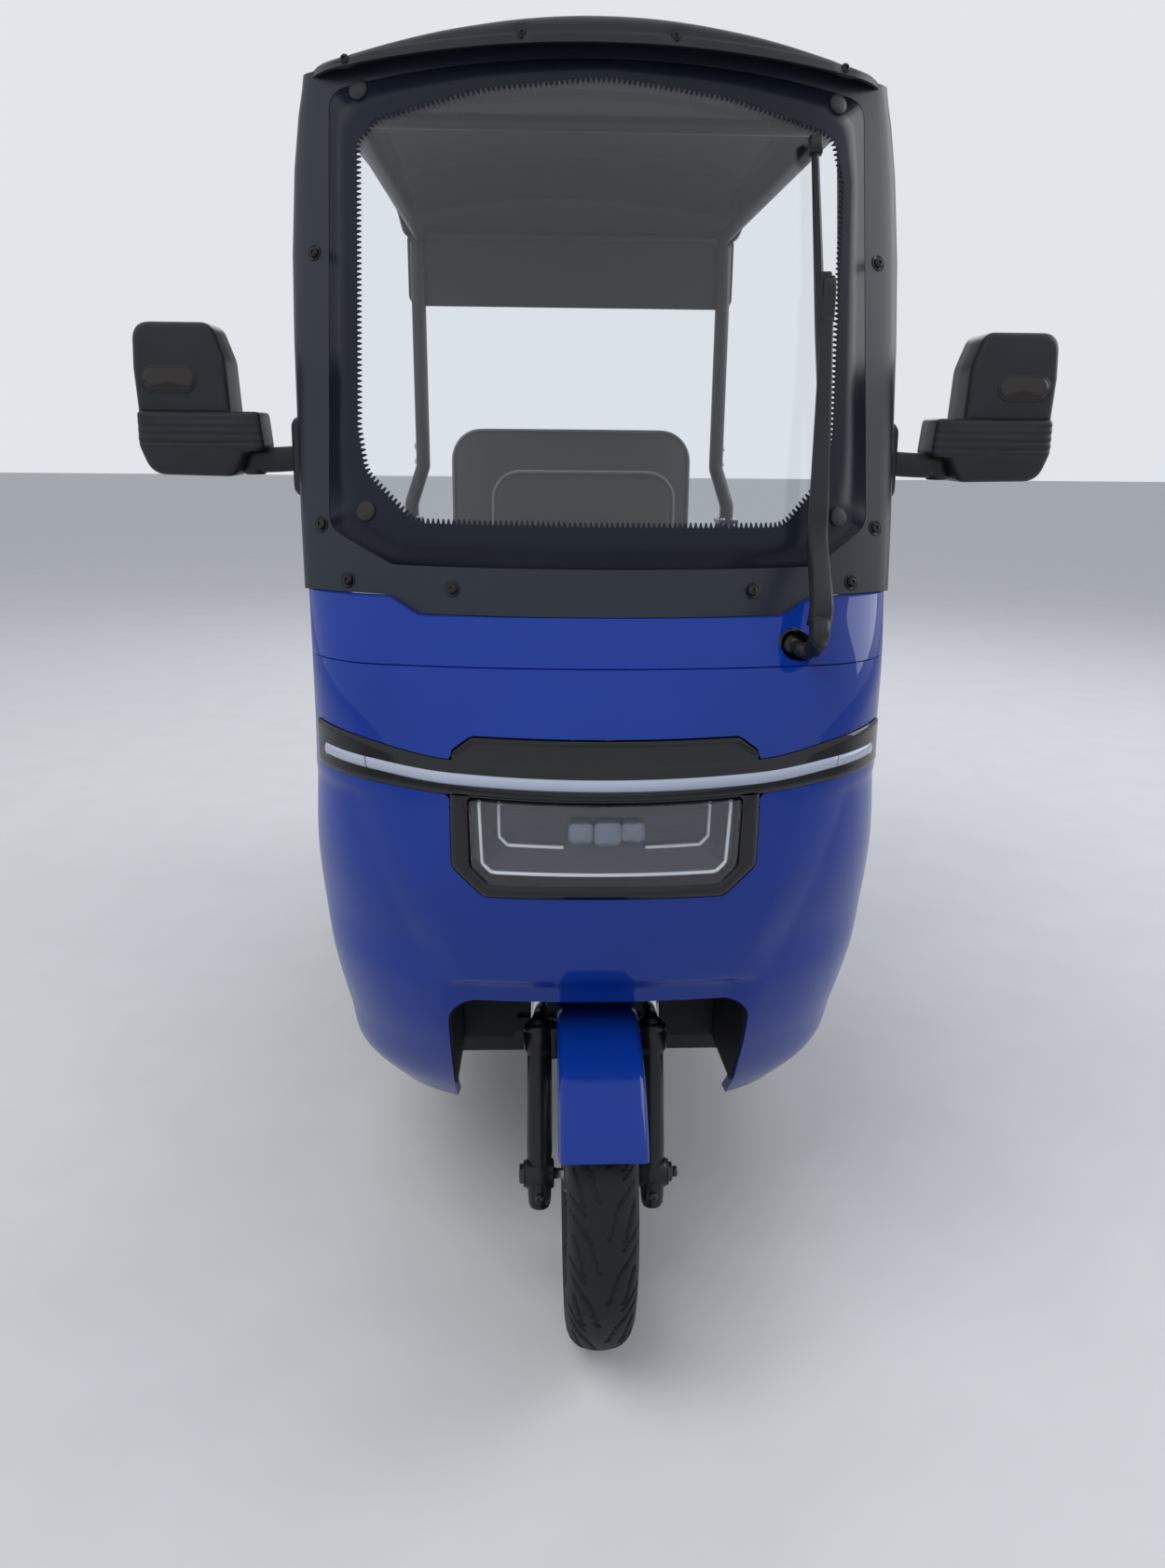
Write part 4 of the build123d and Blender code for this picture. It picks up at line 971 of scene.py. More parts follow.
capProfile = [(-1, 0), (-1, 12), (2.0, 12), (3.6, 10.5), (4.4, 5), (4.5, 0)]
wellProfile = [(-1, 0), (-1, 9.5), (1.0, 9.5), (1.3, 8.7), (0.6, 8.0), (0.25, 6.8), (0.25, 0)]
caps = []
for x, z in ((-283, 1519), (284, 1514), (-274, 1046), (282, 1043)):
    caps.append(turned("screenCap", capProfile, onGlass(x, z, 0.6), glassNormal(x, z), rubberPart, 28))
joined("screenCaps", caps)

screws, wells = [], []
for x, z in ((-340, 1339), (-331, 1029), (340, 1337), (334, 1029), (-297, 968), (-172, 964), (173, 963), (300, 968)):
    at, outward = onGlass(x, z), glassNormal(x, z)
    wells.append(turned("screwWell", wellProfile, at, outward, darkRing, 28))
    screws.append(boltHead("screw", at + outward * 0.4, outward, 5.6, darkScrew, 3.4))
joined("screenWells", wells)
joined("screenScrews", screws)
print("windscreen")

# roof: a lid grown inwards from its outline, rounded shoulder and crowned top

roofShape = {"sections": [(-690, 1500, 1550, 1590), (-560, 1510, 1574, 1630), (-300, 1546, 1594, 1656),
                          (100, 1560, 1598, 1662), (420, 1556, 1588, 1650), (572, 1520, 1548, 1606)], "half": 352.0,
             "frontY": -678.0, "rearY": 572.0, "cornerRound": 60.0, "shoulder": 32.0, "wall": 3.6, "lipStep": 2.2,
             "boltX": (-298.0, -91.0, 82.0, 290.0), "boltRadius": 9.5, "boltDepth": 4.0, "frontDrop": 18.0,
             "cornerDrop": 37.0, "dropFrom": -340.0, "dropRun": 300.0}
roofRows = np.array(roofShape["sections"], float)


def roofValue(y, column):
    # one column of the sections, straight between them
    return np.interp(y, roofRows[:, 0], roofRows[:, column])


def roofTop(x, y):
    # z = side + (crown - side) (1 - (x / 352)^2), averaged along y; the front drops, most at its corners
    total = 0
    for d, w in ((-60, 0.25), (0, 0.5), (60, 0.25)):
        side, crown = roofValue(y + d, 2) + 18, roofValue(y + d, 3)
        total = total + w * (side + (crown - side) * (1 - (x / 352.0) ** 2))
    drop = roofShape["frontDrop"] + roofShape["cornerDrop"] * (x / 340.0) ** 2
    return total - drop * smooth((roofShape["dropFrom"] - y) / roofShape["dropRun"])


def roofOutline(count):
    # plan of the roof: the front is y = front + 95 (x / half)^2, the sides and the back are straight
    half, front, rear = roofShape["half"], roofShape["frontY"], roofShape["rearY"]
    x = np.linspace(-1, 1, 41)
    frontLine = np.stack([x * half, front + 95.0 * x ** 2], -1)
    line = resample(np.vstack([frontLine, [(half, rear), (-half, rear)]]), count, closed=True)
    # each point becomes the mean of its neighbours within the reach of the corner round
    step = np.linalg.norm(np.diff(line, axis=0), axis=1).mean()
    reach = int(roofShape["cornerRound"] / step)
    line = sum(np.roll(line, k, 0) for k in range(-reach, reach + 1)) / (2 * reach + 1)
    return resample(line, count, closed=True)


def roofPanel():
    # rings from the lower edge: a leaning skirt, a shoulder, then the ring shrinks to the centre on roofTop
    count = 396
    edge = roofOutline(count)
    along = np.roll(edge, -1, 0) - np.roll(edge, 1, 0)
    inward = np.stack([-along[:, 1], along[:, 0]], -1) / np.linalg.norm(along, axis=1)[:, None]
    x, y = edge[:, 0], edge[:, 1]
    front = smooth((-480 - y) / 60)
    low = roofValue(y, 1) * (1 - front) + np.maximum(lipHeight(x), 1500) * front
    reach = roofShape["shoulder"]
    ring = edge + inward * reach
    top = roofTop(ring[:, 0], ring[:, 1])
    shoulder = np.maximum(top - 24, low + 0.45 * (top - low))
    rows = []
    for k in np.linspace(0, 1, 10):                      # skirt
        z = low + (shoulder - low) * k
        lean = 3.0 * k + roofShape["lipStep"] * smooth((k * (shoulder - low) - 9) / 3)
        rows.append(np.column_stack([edge + inward * lean[:, None], z]))
    lean = 3.0 + roofShape["lipStep"]
    for k in np.linspace(0, np.pi / 2, 8)[1:]:           # shoulder: a quarter ellipse
        d = lean + (reach - lean) * (1 - np.cos(k))
        rows.append(np.column_stack([edge + inward * d, shoulder + (top - shoulder) * np.sin(k)]))
    centre = np.array([0.0, -40.0])
    for k in np.linspace(1, 0, 15)[1:]:                  # top
        flat = centre + (ring - centre) * k
        rows.append(np.column_stack([flat, roofTop(flat[:, 0], flat[:, 1])]))
    points = np.stack(rows, 1)
    for boltX in roofShape["boltX"]:                     # sunk places for the four lip bolts
        boltZ = 1565 - 14 * (boltX / 300) ** 2
        away = np.hypot(points[..., 0] - boltX, points[..., 2] - boltZ)
        sink = roofShape["boltDepth"] * smooth((roofShape["boltRadius"] - away) / 3.5) * (points[..., 1] < -500)
        points[..., 1] += sink
    look = ("chassis", "roof_black", roofPlastic)
    return meshObject("roofPanel", points, gridFaces(count, len(rows), closed=True), look, (0, -40, 1400), weld=0.05)


roof = roofPanel()
wall(roof, roofShape["wall"], 1.0)
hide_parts("roof_panel")
lipBolts = []
for boltX in roofShape["boltX"]:
    boltZ = 1565 - 14 * (boltX / 300) ** 2
    boltY = roofShape["frontY"] + 95.0 * (boltX / 352.0) ** 2 + roofShape["boltDepth"] + 5
    lipBolts.append(boltHead("lipBolt", (boltX, boltY, boltZ), (0.0005 * boltX, -1, 0.05), 5.6, steelPart, 4.5))
joined("roofBolts", lipBolts)

# embossed panels and ribs under the roof: soft raised outlines on a sheet that follows the top
ceilingShape = {"below": 7.0, "ribs": (-470.0, -60.0, 330.0), "ribDepth": 10.0, "padX": 165.0, "padY": -560.0}


def ceilingSurface(x, y):
    # the roof's top less a gap, with ribs across and two raised frames
    z = roofTop(x, y) - ceilingShape["below"]
    for ribY in ceilingShape["ribs"]:
        z = z - ceilingShape["ribDepth"] * smooth(1 - np.abs(y - ribY) / 20)
    for side in (-1, 1):
        pad = roundBox(x - side * ceilingShape["padX"], y - ceilingShape["padY"], -70, 70, -34, 34, 26)
        z = z - 5 * smooth(1 - np.abs(pad) / 6)
    return np.stack([x, y, z], -1)


def inCeiling(p):
    # a rounded rectangle whose front edge follows the roof's: y moves by 60 (x / 330)^2 in front
    x, y = p[..., 0], p[..., 1]
    return roundBox(x, y - 60 * (x / 330) ** 2 * (y < -300), -328, 328, -640, 548, 40)


ceiling = trimmedSheet("roofLining", ceilingSurface, np.arange(-330, 331, 13.2), np.arange(-640, 556, 10.0),
                       inCeiling, ("chassis", "roof_black", linerPlastic), (0, -40, 3000))
wall(ceiling, 2.0)
print("roof")

# mirrors

mirrorShape = {"upper": [(443, 1152), (446, 1216), (461, 1257.5), (552, 1257.5), (555, 1206), (553, 1152)],
               "upperRadii": [3, 40, 17, 22, 40, 3],
               "lower": [(409, 1157), (405, 1113), (427, 1110), (441, 1081), (542, 1083), (555, 1118), (554, 1157)],
               "lowerRadii": [7, 6, 8, 16, 34, 30, 6],
               "glass": [(444, 1112), (452, 1238), (534, 1242), (541, 1112)],
               "y": -640.0, "depth": 72.0, "leftOut": 8.0, "ribPitch": 9.0, "ribs": (1112, 1150), "armZ": 1102.0,
               "footHalf": 27, "footTop": 22}


def shellPad(name, outline, front, back, dome, soft, look, ribs=None, count=180):
    # a rounded housing: outline scaled by k, y = front + dome k^2, a quarter turn of size soft, then straight back
    outline = resample(outline, count, closed=True)
    middle = (outline.max(0) + outline.min(0)) / 2
    turn = np.linspace(0, np.pi / 2, 7)[1:]
    size = (outline.max(0) - outline.min(0)).min() / 2
    ks = np.concatenate([np.linspace(0, 1 - soft / size, 14), 1 - soft / size + soft / size * np.sin(turn),
                         [1.0, 1.0, 0.97, 0]])
    edgeY = front + dome
    ys = np.concatenate([front + dome * np.linspace(0, 1, 14) ** 2, edgeY + soft * (1 - np.cos(turn)),
                         [edgeY + soft + (back - edgeY - soft) * 0.5, back - 1.5, back, back]])
    points = shrunkRings(outline, middle, ks, ys)
    if ribs:
        low, high, pitch = ribs
        z = points[..., 2]
        ribbed = smooth((z - low) / 3) * smooth((high - z) / 3) * (np.arange(len(ks)) < 20)
        points[..., 1] += 1.8 * ribbed * np.abs(np.cos(np.pi * (z - low) / pitch)) ** 6
    return closedMesh(name, points, gridFaces(count, len(ks), closed=True), look)


def mirrorSet(side):
    # one mirror: head and foot housings, glass, arm with its collar, wall plate and marker lamp
    m = mirrorShape
    name = "Left" if side > 0 else "Right"
    flip = np.array([side, 1.0])
    front, back = m["y"] - m["depth"] / 2, m["y"] + m["depth"] / 2
    out = m["leftOut"] if side > 0 else 0.0
    upper = roundCorners(np.array(m["upper"]) * flip + (out, 0), m["upperRadii"], 10)
    lower = roundCorners(np.array(m["lower"]) * flip + (out, 0), m["lowerRadii"], 10)
    head = shellPad("mirrorHead" + name, upper, front + 2, back, 2.5, 9, blackPart)
    shellPad("mirrorFoot" + name, lower, front - 4, back - 8, 3, 8, blackPart, ribs=(*m["ribs"], m["ribPitch"]))
    ring = resample(roundCorners(np.array(m["glass"]) * flip + (out, 0), 9), 120, closed=True)
    # the mirror face: a shallow dome just behind the rim
    ks = np.array([0, 0.3, 0.6, 0.85, 1.0, 1.0])
    face = closedMesh("mirrorFace" + name,
                      shrunkRings(ring, ring.mean(0), ks, back + np.array([2.4, 2.3, 2.0, 1.6, 1.2, -2.0])),
                      gridFaces(120, len(ks), closed=True), ("chassis", "mirror", mirrorGlass))
    # round arm from the base, with a collar where it meets the foot
    z = m["armZ"]
    arm = sweptBar("mirrorArm" + name, smoothPath([(side * 366, m["y"], z + 1), (side * 396, m["y"], z - 1),
                   (side * 424 + out, m["y"], z - 2)], 14), roundedRectangle(26, 30, 8, 5), darkScrew, up=(0, 0, 1))
    collar = turned("mirrorCollar" + name, [(-17, 0), (-17, 12), (-15, 14), (13, 14), (15, 12), (15, 0)],
                    (side * 425 + out, m["y"], z - 2), (0, 0, 1), blackPart, 28)
    joined("mirrorArm" + name, [arm, collar])
    foot, top = m["footHalf"], m["footTop"]
    base = roundCorners([(m["y"] - foot, 1058), (m["y"] + foot, 1058), (m["y"] + top, 1152), (m["y"] - top, 1152)],
                        12, 6)
    plate = resample(base, 72, closed=True)
    ks = np.array([0.0, 1.0, 1.0, 0.96, 0.88, 0.5, 0.0])
    depth = side * (353.4 + np.array([0, 0, 13, 17, 20, 21.5, 22]))
    closedMesh("mirrorBase" + name, shrunkRings(plate, plate.mean(0), ks, depth, (1, 2)), gridFaces(72, len(ks),
               closed=True), blackPart)
    # smoked marker lens with a rim, on the head's front
    lensX, lensZ = side * 512 + out, 1193
    domedPad("markerRim" + name, roundedRectangle(66, 31, 15, 8), (lensX, 0, lensZ), front + 2.0, front + 9, 0.4,
             blackPart)
    domedPad("markerLens" + name, roundedRectangle(59, 24, 11.5, 8), (lensX, 0, lensZ), front + 1.2, front + 8, 0.8,
             ("chassis", "lamp_lens", smokedPlastic))
    return head, face, arm


leftMirror = mirrorSet(1)
mirrorSet(-1)
for piece, node in zip(leftMirror, ("mirror_housings", "mirror_glasses", "mirror_arms")):
    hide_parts(node)
print("mirrors")

# wiper

# arm points are x, z and the distance in front of the glass
wiperShape = {"axis": (0.28, -0.88, 0.36), "arm": [(247, 1010, 34), (250, 1060, 33), (256, 1160, 30),
              (262, 1262, 27)], "hook": [(262, 1255, 27), (264, 1285, 30), (265, 1303, 25), (263, 1296, 13)],
              "clip": [(262, 1243, 14), (262, 1275, 15), (261, 1312, 14)], "bladeX": 262, "bladeLean": -11,
              "bladeLow": 1040, "bladeLength": 422, "bladeAway": (12, 2.5)}


def inFront(x, z, distance):
    # a point at a distance in front of the glass, square to it
    return onGlass(x, z) + np.array([0, -distance * screenCos, distance * screenSin])


# a dish in the cowl's hole, a cast elbow that comes out of it, and the pressed arm on the elbow
turned("wiperDish", [(-16, 0), (-16, 21.5), (-3, 21.5), (-3, 19), (-8, 17.5), (-11, 12), (-12, 0)], wiperHole,
       wiperShape["axis"], darkRing, 40)
spindle = turned("wiperSpindle", [(-10, 0), (-10, 9), (-1, 9), (0.5, 7.5), (1, 0)], wiperHole + (-6, 2, 0),
                 wiperShape["axis"], steelPart, 24)
elbowPath = smoothPath([wiperHole + (0, 6, -2), wiperHole + (3, -9, -3), wiperHole + (13, -17, -2), (235, -889, 921),
                        (237, -881, 942)], 26)
elbow = sweptBar("wiperElbow", elbowPath, roundedRectangle(19, 17, 6, 5), steelPart, up=(0.2, -0.5, 0.6),
                 scale=np.interp(np.linspace(0, 1, 26), [0, 0.4, 0.8, 1], [0.8, 1.0, 1.15, 1.1]))
armPath = smoothPath([(236.5, -882, 933), (239, -878, 962)] + [inFront(*p) for p in wiperShape["arm"]], 60)
channel = [(-12, -4.5), (12, -4.5), (12, -2.6), (8.5, 4.5), (-8.5, 4.5), (-12, -2.6)]
wiperUp = (0, -1, 0.3)
wiperArm = sweptBar("wiperArm", armPath, roundCorners(channel, 1.6, 3), steelPart, up=wiperUp,
                    scale=np.interp(np.linspace(0, 1, 60), [0, 0.3, 1], [1.15, 1.05, 0.62]))
hookPath = smoothPath([inFront(*p) for p in wiperShape["hook"]], 30)
hook = sweptBar("wiperHook", hookPath, roundedRectangle(15, 4.5, 1.5, 3), steelPart, wiperUp)
clipPath = np.array([inFront(*p) for p in wiperShape["clip"]])
clip = sweptBar("wiperClip", clipPath, roundedRectangle(17, 17, 4, 4), steelPart, wiperUp)


def bladePoint(k):
    # k = 0..1 up the blade: it leans by x = bladeX + lean k and bows away from the glass by away sin(pi k)
    w = wiperShape
    return inFront(w["bladeX"] + w["bladeLean"] * k, w["bladeLow"] + w["bladeLength"] * k,
                   w["bladeAway"][0] + w["bladeAway"][1] * math.sin(math.pi * k))


bladeLine = np.array([bladePoint(k) for k in np.linspace(0, 1, 30)])
spineRound = roundCorners([(-6, -4), (6, -4), (4.5, 2), (1.5, 5), (-1.5, 5), (-4.5, 2)], 1.2, 3)
spine = sweptBar("wiperSpine", bladeLine, spineRound, steelPart, wiperUp, np.interp(np.linspace(0, 1, 30),
                 [0, 0.5, 1], [0.8, 1.15, 0.8]))
sweptBar("wiperRubber", bladeLine - np.array([0, -7.5, 0]), [(-1.2, -4), (1.2, -4), (2.2, 3), (-2.2, 3)], rubberPart,
         wiperUp)
capEnd = bladeLine[-1] + (bladeLine[-1] - bladeLine[-2]) * 0.3
endCap = sweptBar("wiperEndCap", np.array([bladeLine[-2], capEnd]), roundedRectangle(15, 13, 3, 4), steelPart,
                  wiperUp)
joined("wiperArmSet", [wiperArm, elbow, spindle, hook, clip])
joined("wiperBlade", [spine, endCap])
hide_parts("wiper_arm")
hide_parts("wiper_blade")
print("wiper")

# fork: turned pieces along the raked steering direction

forkShape = {"base": (0.0, -840.0, 210.0), "spacing": 147.0, "offset": 30.0, "legRadius": 16.5,
             "legTop": 192.0, "sealRadius": 19.0, "lugRadius": 19.0}
rakeSin, rakeCos = math.sin(math.radians(20)), math.cos(math.radians(20))
rakeAxis = np.array([0, rakeSin, rakeCos])
rakeAcross = np.array([0, rakeCos, -rakeSin])


def forkPoint(x, across, alongFork):
    # a point in the fork's own directions, raked 20 degrees
    return np.array(forkShape["base"]) + np.array([x, 0, 0]) + rakeAcross * across + rakeAxis * alongFork


forkPieces, chromePieces, forkBolts = [], [], []
for side in (-1, 1):
    x = side * forkShape["spacing"] / 2
    r, top = forkShape["legRadius"], forkShape["legTop"]
    leg = [(-46, 0), (-45.5, 7), (-43, 11.5), (-38, 14), (-28, 15.2), (20, r - 0.6), (30, r), (top - 40, r),
           (top - 36, r + 0.4), (top - 34, forkShape["sealRadius"]), (top - 31, 20.2), (top - 10, 20.2),
           (top - 8, 19.2), (top - 7, 20.4), (top - 2, 20.4), (top + 1, 18.4), (top + 2.5, 13), (top + 3, 0)]
    forkPieces.append(turned("forkLeg", leg, forkPoint(x, 0, 0), rakeAxis, forkPart, 40))
    lug = [(-19, 0), (-19, 16.5), (-17, forkShape["lugRadius"]), (17, forkShape["lugRadius"]), (19, 16.5), (19, 0)]
    forkPieces.append(turned("forkLug", lug, (x, -840, 210), (1, 0, 0), forkPart, 36))
    tube = [(top - 2, 0), (top - 2, 11), (396, 11), (396, 0)]
    chromePieces.append(turned("forkTube", tube, forkPoint(x, 0, 0), rakeAxis, ("steering", "fork_chrome", chrome),
                        32))
    wiperRing = [(top + 1, 0), (top + 1, 15), (top + 5, 14.6), (top + 7, 12.4), (top + 7, 0)]
    forkPieces.append(turned("forkWiper", wiperRing, forkPoint(x, 0, 0), rakeAxis, ("steering", "fork_black",
                      plainRubber), 32))
    # pinch bolt across the foot of the leg, and the axle's nut with its washer
    forkBolts.append(hexNut("axleNut", (side * 93, -840, 210), (side, 0, 0), 12.5, 7, axlePart))
    forkBolts.append(turned("axleWasher", [(0, 0), (0, 17), (2.2, 17), (2.2, 0)], (side * 92.2, -840, 210),
                     (side, 0, 0), axlePart, 32))
    if side > 0:
        forkBolts.append(turned("axleEnd", [(0, 0), (0, 7), (6.2, 7), (7, 5.5), (7, 0)], (99.5, -840, 210), (1, 0, 0),
                         axlePart, 24))
    forkBolts.append(boltHead("pinchBolt", forkPoint(x, -16, -28), -rakeAcross, 6, ("steering", "fork_black",
                     blackZinc), 5))
joined("forkLegs", forkPieces)
joined("forkTubesChrome", chromePieces)
joined("axleNuts", forkBolts)
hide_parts("fork_legs")

# front fender: point(angle, t), t across a rounded channel

fenderShape = {"radius": 229.0, "half": 50.5, "corner": 12.0, "skirt": 20.0, "crown": 3.0, "from": 37.0, "to": 145.0,
               "endRound": 9.0, "tuck": 3.0}


def fenderProfile(count):
    # across the fender as (x, drop below the crown), a U with rounded corners and slightly flared lips
    f = fenderShape
    half, skirt = f["half"], f["skirt"]
    corners = [(-half - 1.5, skirt + 3), (-half, 0), (half, 0), (half + 1.5, skirt + 3)]
    line = resample(roundCorners(corners, [0, f["corner"], f["corner"], 0], 9), count)
    line[:, 1] -= f["crown"] * (1 - (line[:, 0] / half) ** 2) * (np.abs(line[:, 0]) < half)
    return line


def fender(u, v):
    # u: degrees above the front horizontal times 4, v: index along the profile
    profile = fenderProfile(121)
    at = np.linspace(0, 120, 121)
    x, drop = np.interp(v, at, profile[:, 0]), np.interp(v, at, profile[:, 1])
    angle = np.radians(u / 4)
    radius = fenderShape["radius"] - drop - fenderShape["tuck"] * smooth((43 - u / 4) / 6)
    return np.stack([x, -840 - radius * np.cos(angle), 210 + radius * np.sin(angle)], -1)


def inFender(p):
    # rounded ends, and clear of the two fork legs
    radius = np.hypot(p[..., 1] + 840, p[..., 2] - 210)
    angle = np.degrees(np.arctan2(p[..., 2] - 210, -840 - p[..., 1]))
    across = np.abs(p[..., 0]) + (fenderShape["radius"] - radius) * 0.8
    ends = roundBox(angle * 4, across, fenderShape["from"] * 4, fenderShape["to"] * 4, -80, 75,
                    fenderShape["endRound"] * 3)
    alongY = (p[..., 1] + 840) * rakeCos - (p[..., 2] - 210) * rakeSin
    leg = np.hypot(np.abs(p[..., 0]) - forkShape["spacing"] / 2, alongY) - 18.5
    return np.minimum(ends, leg)


frontFender = trimmedSheet("frontFender", fender, np.arange(140, 590, 5.0), np.linspace(0, 120, 49), inFender,
                           ("steering", "body_blue", bluePaint), (0, -840, 210))


def rimFold(co):
    # the border turns down towards the axle
    centre = np.array([0, -840.0, 210.0])
    away = co - centre
    away[:, 0] = 0
    return -4.0 * away / np.linalg.norm(away, axis=1)[:, None]


turnIn(frontFender, lambda co: np.abs(np.degrees(np.arctan2(co[:, 2] - 210, -840 - co[:, 1])) - 90) > 40, rimFold, 1)
wall(frontFender, 2.6, 0.9)
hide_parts("front_fender")
brackets = []
for side in (-1, 1):
    brackets.append(domedPad("fenderBracket", roundedRectangle(8, 44, 2, 3), (side * 54, 0, 374), -796, -774, 0.3,
                    forkPart))
    for up in (-12, 12):
        brackets.append(boltHead("bracketBolt", (side * 57, -785, 374 + up), (side, 0, 0), 5.5,
                        ("steering", "fork_black", zinc), 4))
joined("fenderBrackets", brackets)
print("fork and fender")

# wheels

tyreShape = {"radius": 210.0, "half": 42.0, "bead": 25.5, "beadRadius": 133.5, "grooveDepth": 4.2, "repeats": 16,
             "grooveWidth": 2.2,
             "grooves": [[(38, 0), (15, 36), (6, 72)], [(34, 30), (30, 44), (23, 76)], [(40, 60), (22, 86)]]}


def tyreProfile(count):
    # (x, r) from bead to bead: side wall, rounded shoulder, crown
    t = tyreShape
    half, r = t["half"], t["radius"]
    right = [(t["bead"], t["beadRadius"]), (t["bead"] + 4, t["beadRadius"] + 2), (t["bead"] + 7, t["beadRadius"] + 8),
             (half - 3, 156), (half, 172), (half - 1.5, 184), (half - 6, 195), (half - 16, 204.5), (half - 30, 209),
             (0, r)]
    line = right + [(-x, z) for x, z in reversed(right[:-1])]
    return smoothPath(line, count)


def grooveDistance(x, arc):
    # distance in mm to the nearest groove of one side, |x| across the tread and arc round it within one repeat
    pitch = 2 * np.pi * tyreShape["radius"] / tyreShape["repeats"]
    nearest = np.full(np.broadcast(x, arc).shape, 1e3)
    for line in tyreShape["grooves"]:
        for (ax, az), (bx, bz) in zip(line, line[1:]):
            for turn in (-pitch, 0, pitch):
                px, pz = x - ax, arc % pitch - az + turn
                along = np.clip((px * (bx - ax) + pz * (bz - az)) / ((bx - ax) ** 2 + (bz - az) ** 2), 0, 1)
                nearest = np.minimum(nearest, np.hypot(px - along * (bx - ax), pz - along * (bz - az)))
    return nearest


def tyre(name, x, y, body, node, turnCount, profileCount):
    # the profile turned about the axle, r = profile - groove depth at each (x, arc)
    profile = tyreProfile(profileCount)
    angle = np.linspace(0, 2 * np.pi, turnCount, endpoint=False)[:, None]
    px, pr = profile[None, :, 0], profile[None, :, 1]
    # bent grooves on both sides, half a repeat apart; fine rings mark the side wall
    arc = angle * tyreShape["radius"] + np.where(px > 0, np.pi * tyreShape["radius"] / tyreShape["repeats"], 0)
    depth = tyreShape["grooveDepth"] * smooth((tyreShape["grooveWidth"] - grooveDistance(np.abs(px), arc)) / 1.2)
    wallLines = np.where((pr > 150) & (pr < 190), 0.5 * (np.sin(pr * 1.3) > 0.75), 0.0)
    radius = pr - depth
    xs = px - np.sign(px) * np.where(pr < 192, wallLines, 0) + 0 * angle
    points = np.stack([x + xs, y + radius * np.cos(angle), 210 + radius * np.sin(angle)], -1)
    inner = np.array([[tyreShape["bead"] - 6, 136.0], [-tyreShape["bead"] + 6, 136.0]])
    innerX, innerR = inner[None, :, 0], inner[None, :, 1]
    ringPoints = np.stack([x + innerX + 0 * angle, y + innerR * np.cos(angle), 210 + innerR * np.sin(angle)], -1)
    points = np.concatenate([ringPoints[:, :1], points, ringPoints[:, 1:]], 1)
    piece = meshObject(name, points, gridFaces(turnCount, points.shape[1], closed=True), (body, "tyre", tyreRubber))
    tidyMesh(piece.data, 0)
    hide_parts(node)


tyre("frontTyre", 0, -840, "front_wheel", "front_tyre", 640, 64)
tyre("rearTyreLeft", 310, 700, "rear_wheel_left", "rear_tyre_left", 320, 46)
tyre("rearTyreRight", -310, 700, "rear_wheel_right", "rear_tyre_right", 320, 46)

rimShape = {"spokes": 5, "spokeFrom": 24, "spokeTo": 119, "spokeHalf": ([24, 50, 119], [13.5, 9.5, 10.5]),
            "spokeFlat": 0.62, "dish": 14, "discRadius": 82, "drumRadius": 88, "bolts": 5}


